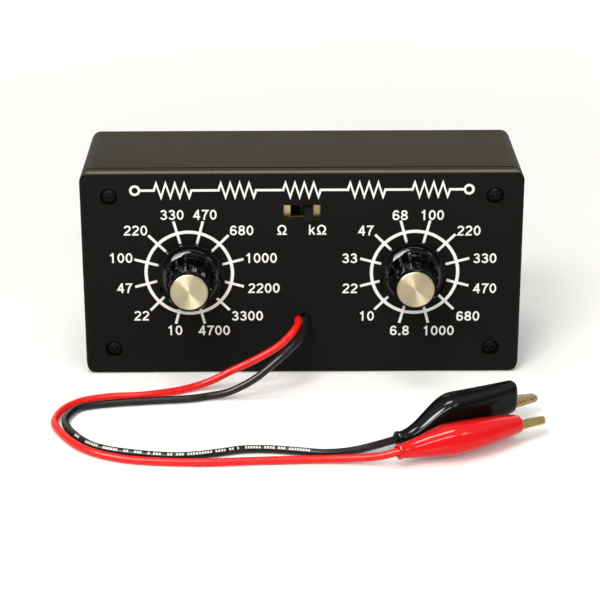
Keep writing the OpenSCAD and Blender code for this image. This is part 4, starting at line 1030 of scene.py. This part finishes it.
class InkSheet:  # gathers flat strokes on the panel into one thin sheet
    def __init__(self):
        self.points, self.faces, self.layer = [], [], 0

    def addStroke(self, stroke, width):  # one ribbon with mitred corners
        path, closed = [Vector(p) for p in stroke[0]], stroke[1]
        count, start = len(path), len(self.points)
        y = panelFrontY - printLook["proud"] - self.layer * printLook["layer"]
        self.layer = (self.layer + 1) % printLook["layers"]
        for i, here in enumerate(path):
            before = path[i - 1] if closed or i else here
            after = path[(i + 1) % count] if closed or i < count - 1 else here
            runs = [b - a for a, b in ((before, here), (here, after)) if (b - a).length > 0]
            normals = [Vector((-d.y, d.x)) for d in (run.normalized() for run in runs)]
            middle = sum(normals, Vector((0, 0))).normalized()
            reach = min(1 / max(middle.dot(normals[0]), 0.01), printLook["mitreLimit"]) * width / 2
            for side in (1, -1):
                edge = here + middle * reach * side
                self.points.append(Vector((edge.x, y, edge.y)) * mm)
        for i in range(count if closed else count - 1):
            a, b = start + 2 * i, start + 2 * ((i + 1) % count)
            self.faces.append((a, a + 1, b + 1, b))

    def addWord(self, word, x, z, high):
        steps = [advances.get(c, printLook["digitAdvance"]) for c in word]
        left = x - sum(steps) * high / 2
        for c, step in zip(word, steps):
            for path, closed in glyphs[c]:
                placed = [(left + px * high, z + (pz - 0.5) * high) for px, pz in path]
                self.addStroke((placed, closed), lineWidths.get(c, printLook["digitLine"]) * high)
            left += step * high

    def finish(self, name):
        return makeObject(name, self.points, self.faces, "case", inkMaterial, False)


def addDialPrint(side):
    dial, look = dials[side], printLook
    sheet = InkSheet()
    middle = look["ringOuter"] - look["ringLine"] / 2
    sheet.addStroke(ring(dial["x"], dial["z"], middle, middle, 120), look["ringLine"])
    first = -(look["positions"] - 1) / 2 * look["step"]
    for i in range(look["positions"]):
        angle = math.radians(90 - first - i * look["step"])
        reaches = (look["tickFrom"], look["tickTo"])
        ends = [(dial["x"] + r * math.cos(angle), dial["z"] + r * math.sin(angle)) for r in reaches]
        sheet.layer = 1  # all ticks lie just over the ring
        sheet.addStroke(line(*ends), look["tickLine"])
    return sheet.finish(side + "DialScale")


for side, dial in dials.items():
    addDialPrint(side)
    figures = InkSheet()
    for word, dx, dz in dial["labels"]:
        figures.addWord(word, dial["x"] + dx, dial["z"] + dz, printLook["digitHigh"])
    figures.finish(side + "DialFigures")
marks = InkSheet()
for word, x, z in rangeMarks:
    marks.addWord(word, x, z, printLook["digitHigh"])
marks.finish("rangeMarks")


# a plain chain of resistor symbols along the top of the panel
chainLook = {
    "from": -57.0, "to": 57.0, "z": 67.7, "line": 0.85, "links": 5, "zigzags": 4, "high": 2.5,
    "linkShare": 0.58, "dot": 1.9,
}


def addResistorChain(look):
    sheet = InkSheet()
    for end in (look["from"], look["to"]):
        middle = look["dot"] - look["line"] / 2
        sheet.addStroke(ring(end, look["z"], middle, middle, 40), look["line"])
    start, finish = look["from"] + look["dot"], look["to"] - look["dot"]
    pitch = (finish - start) / look["links"]
    path = [(start, look["z"])]
    for i in range(look["links"]):
        left = start + pitch * (i + (1 - look["linkShare"]) / 2)
        step = pitch * look["linkShare"] / (4 * look["zigzags"])
        path.append((left, look["z"]))
        for k in range(2 * look["zigzags"]):
            swing = look["high"] if k % 2 == 0 else -look["high"]
            path.append((left + step * (2 * k + 1), look["z"] + swing))
        path.append((left + pitch * look["linkShare"], look["z"]))
    path.append((finish, look["z"]))
    sheet.addStroke(line(*path), look["line"])
    return sheet.finish("resistorChainMark")


addResistorChain(chainLook)
print("panel print placed")
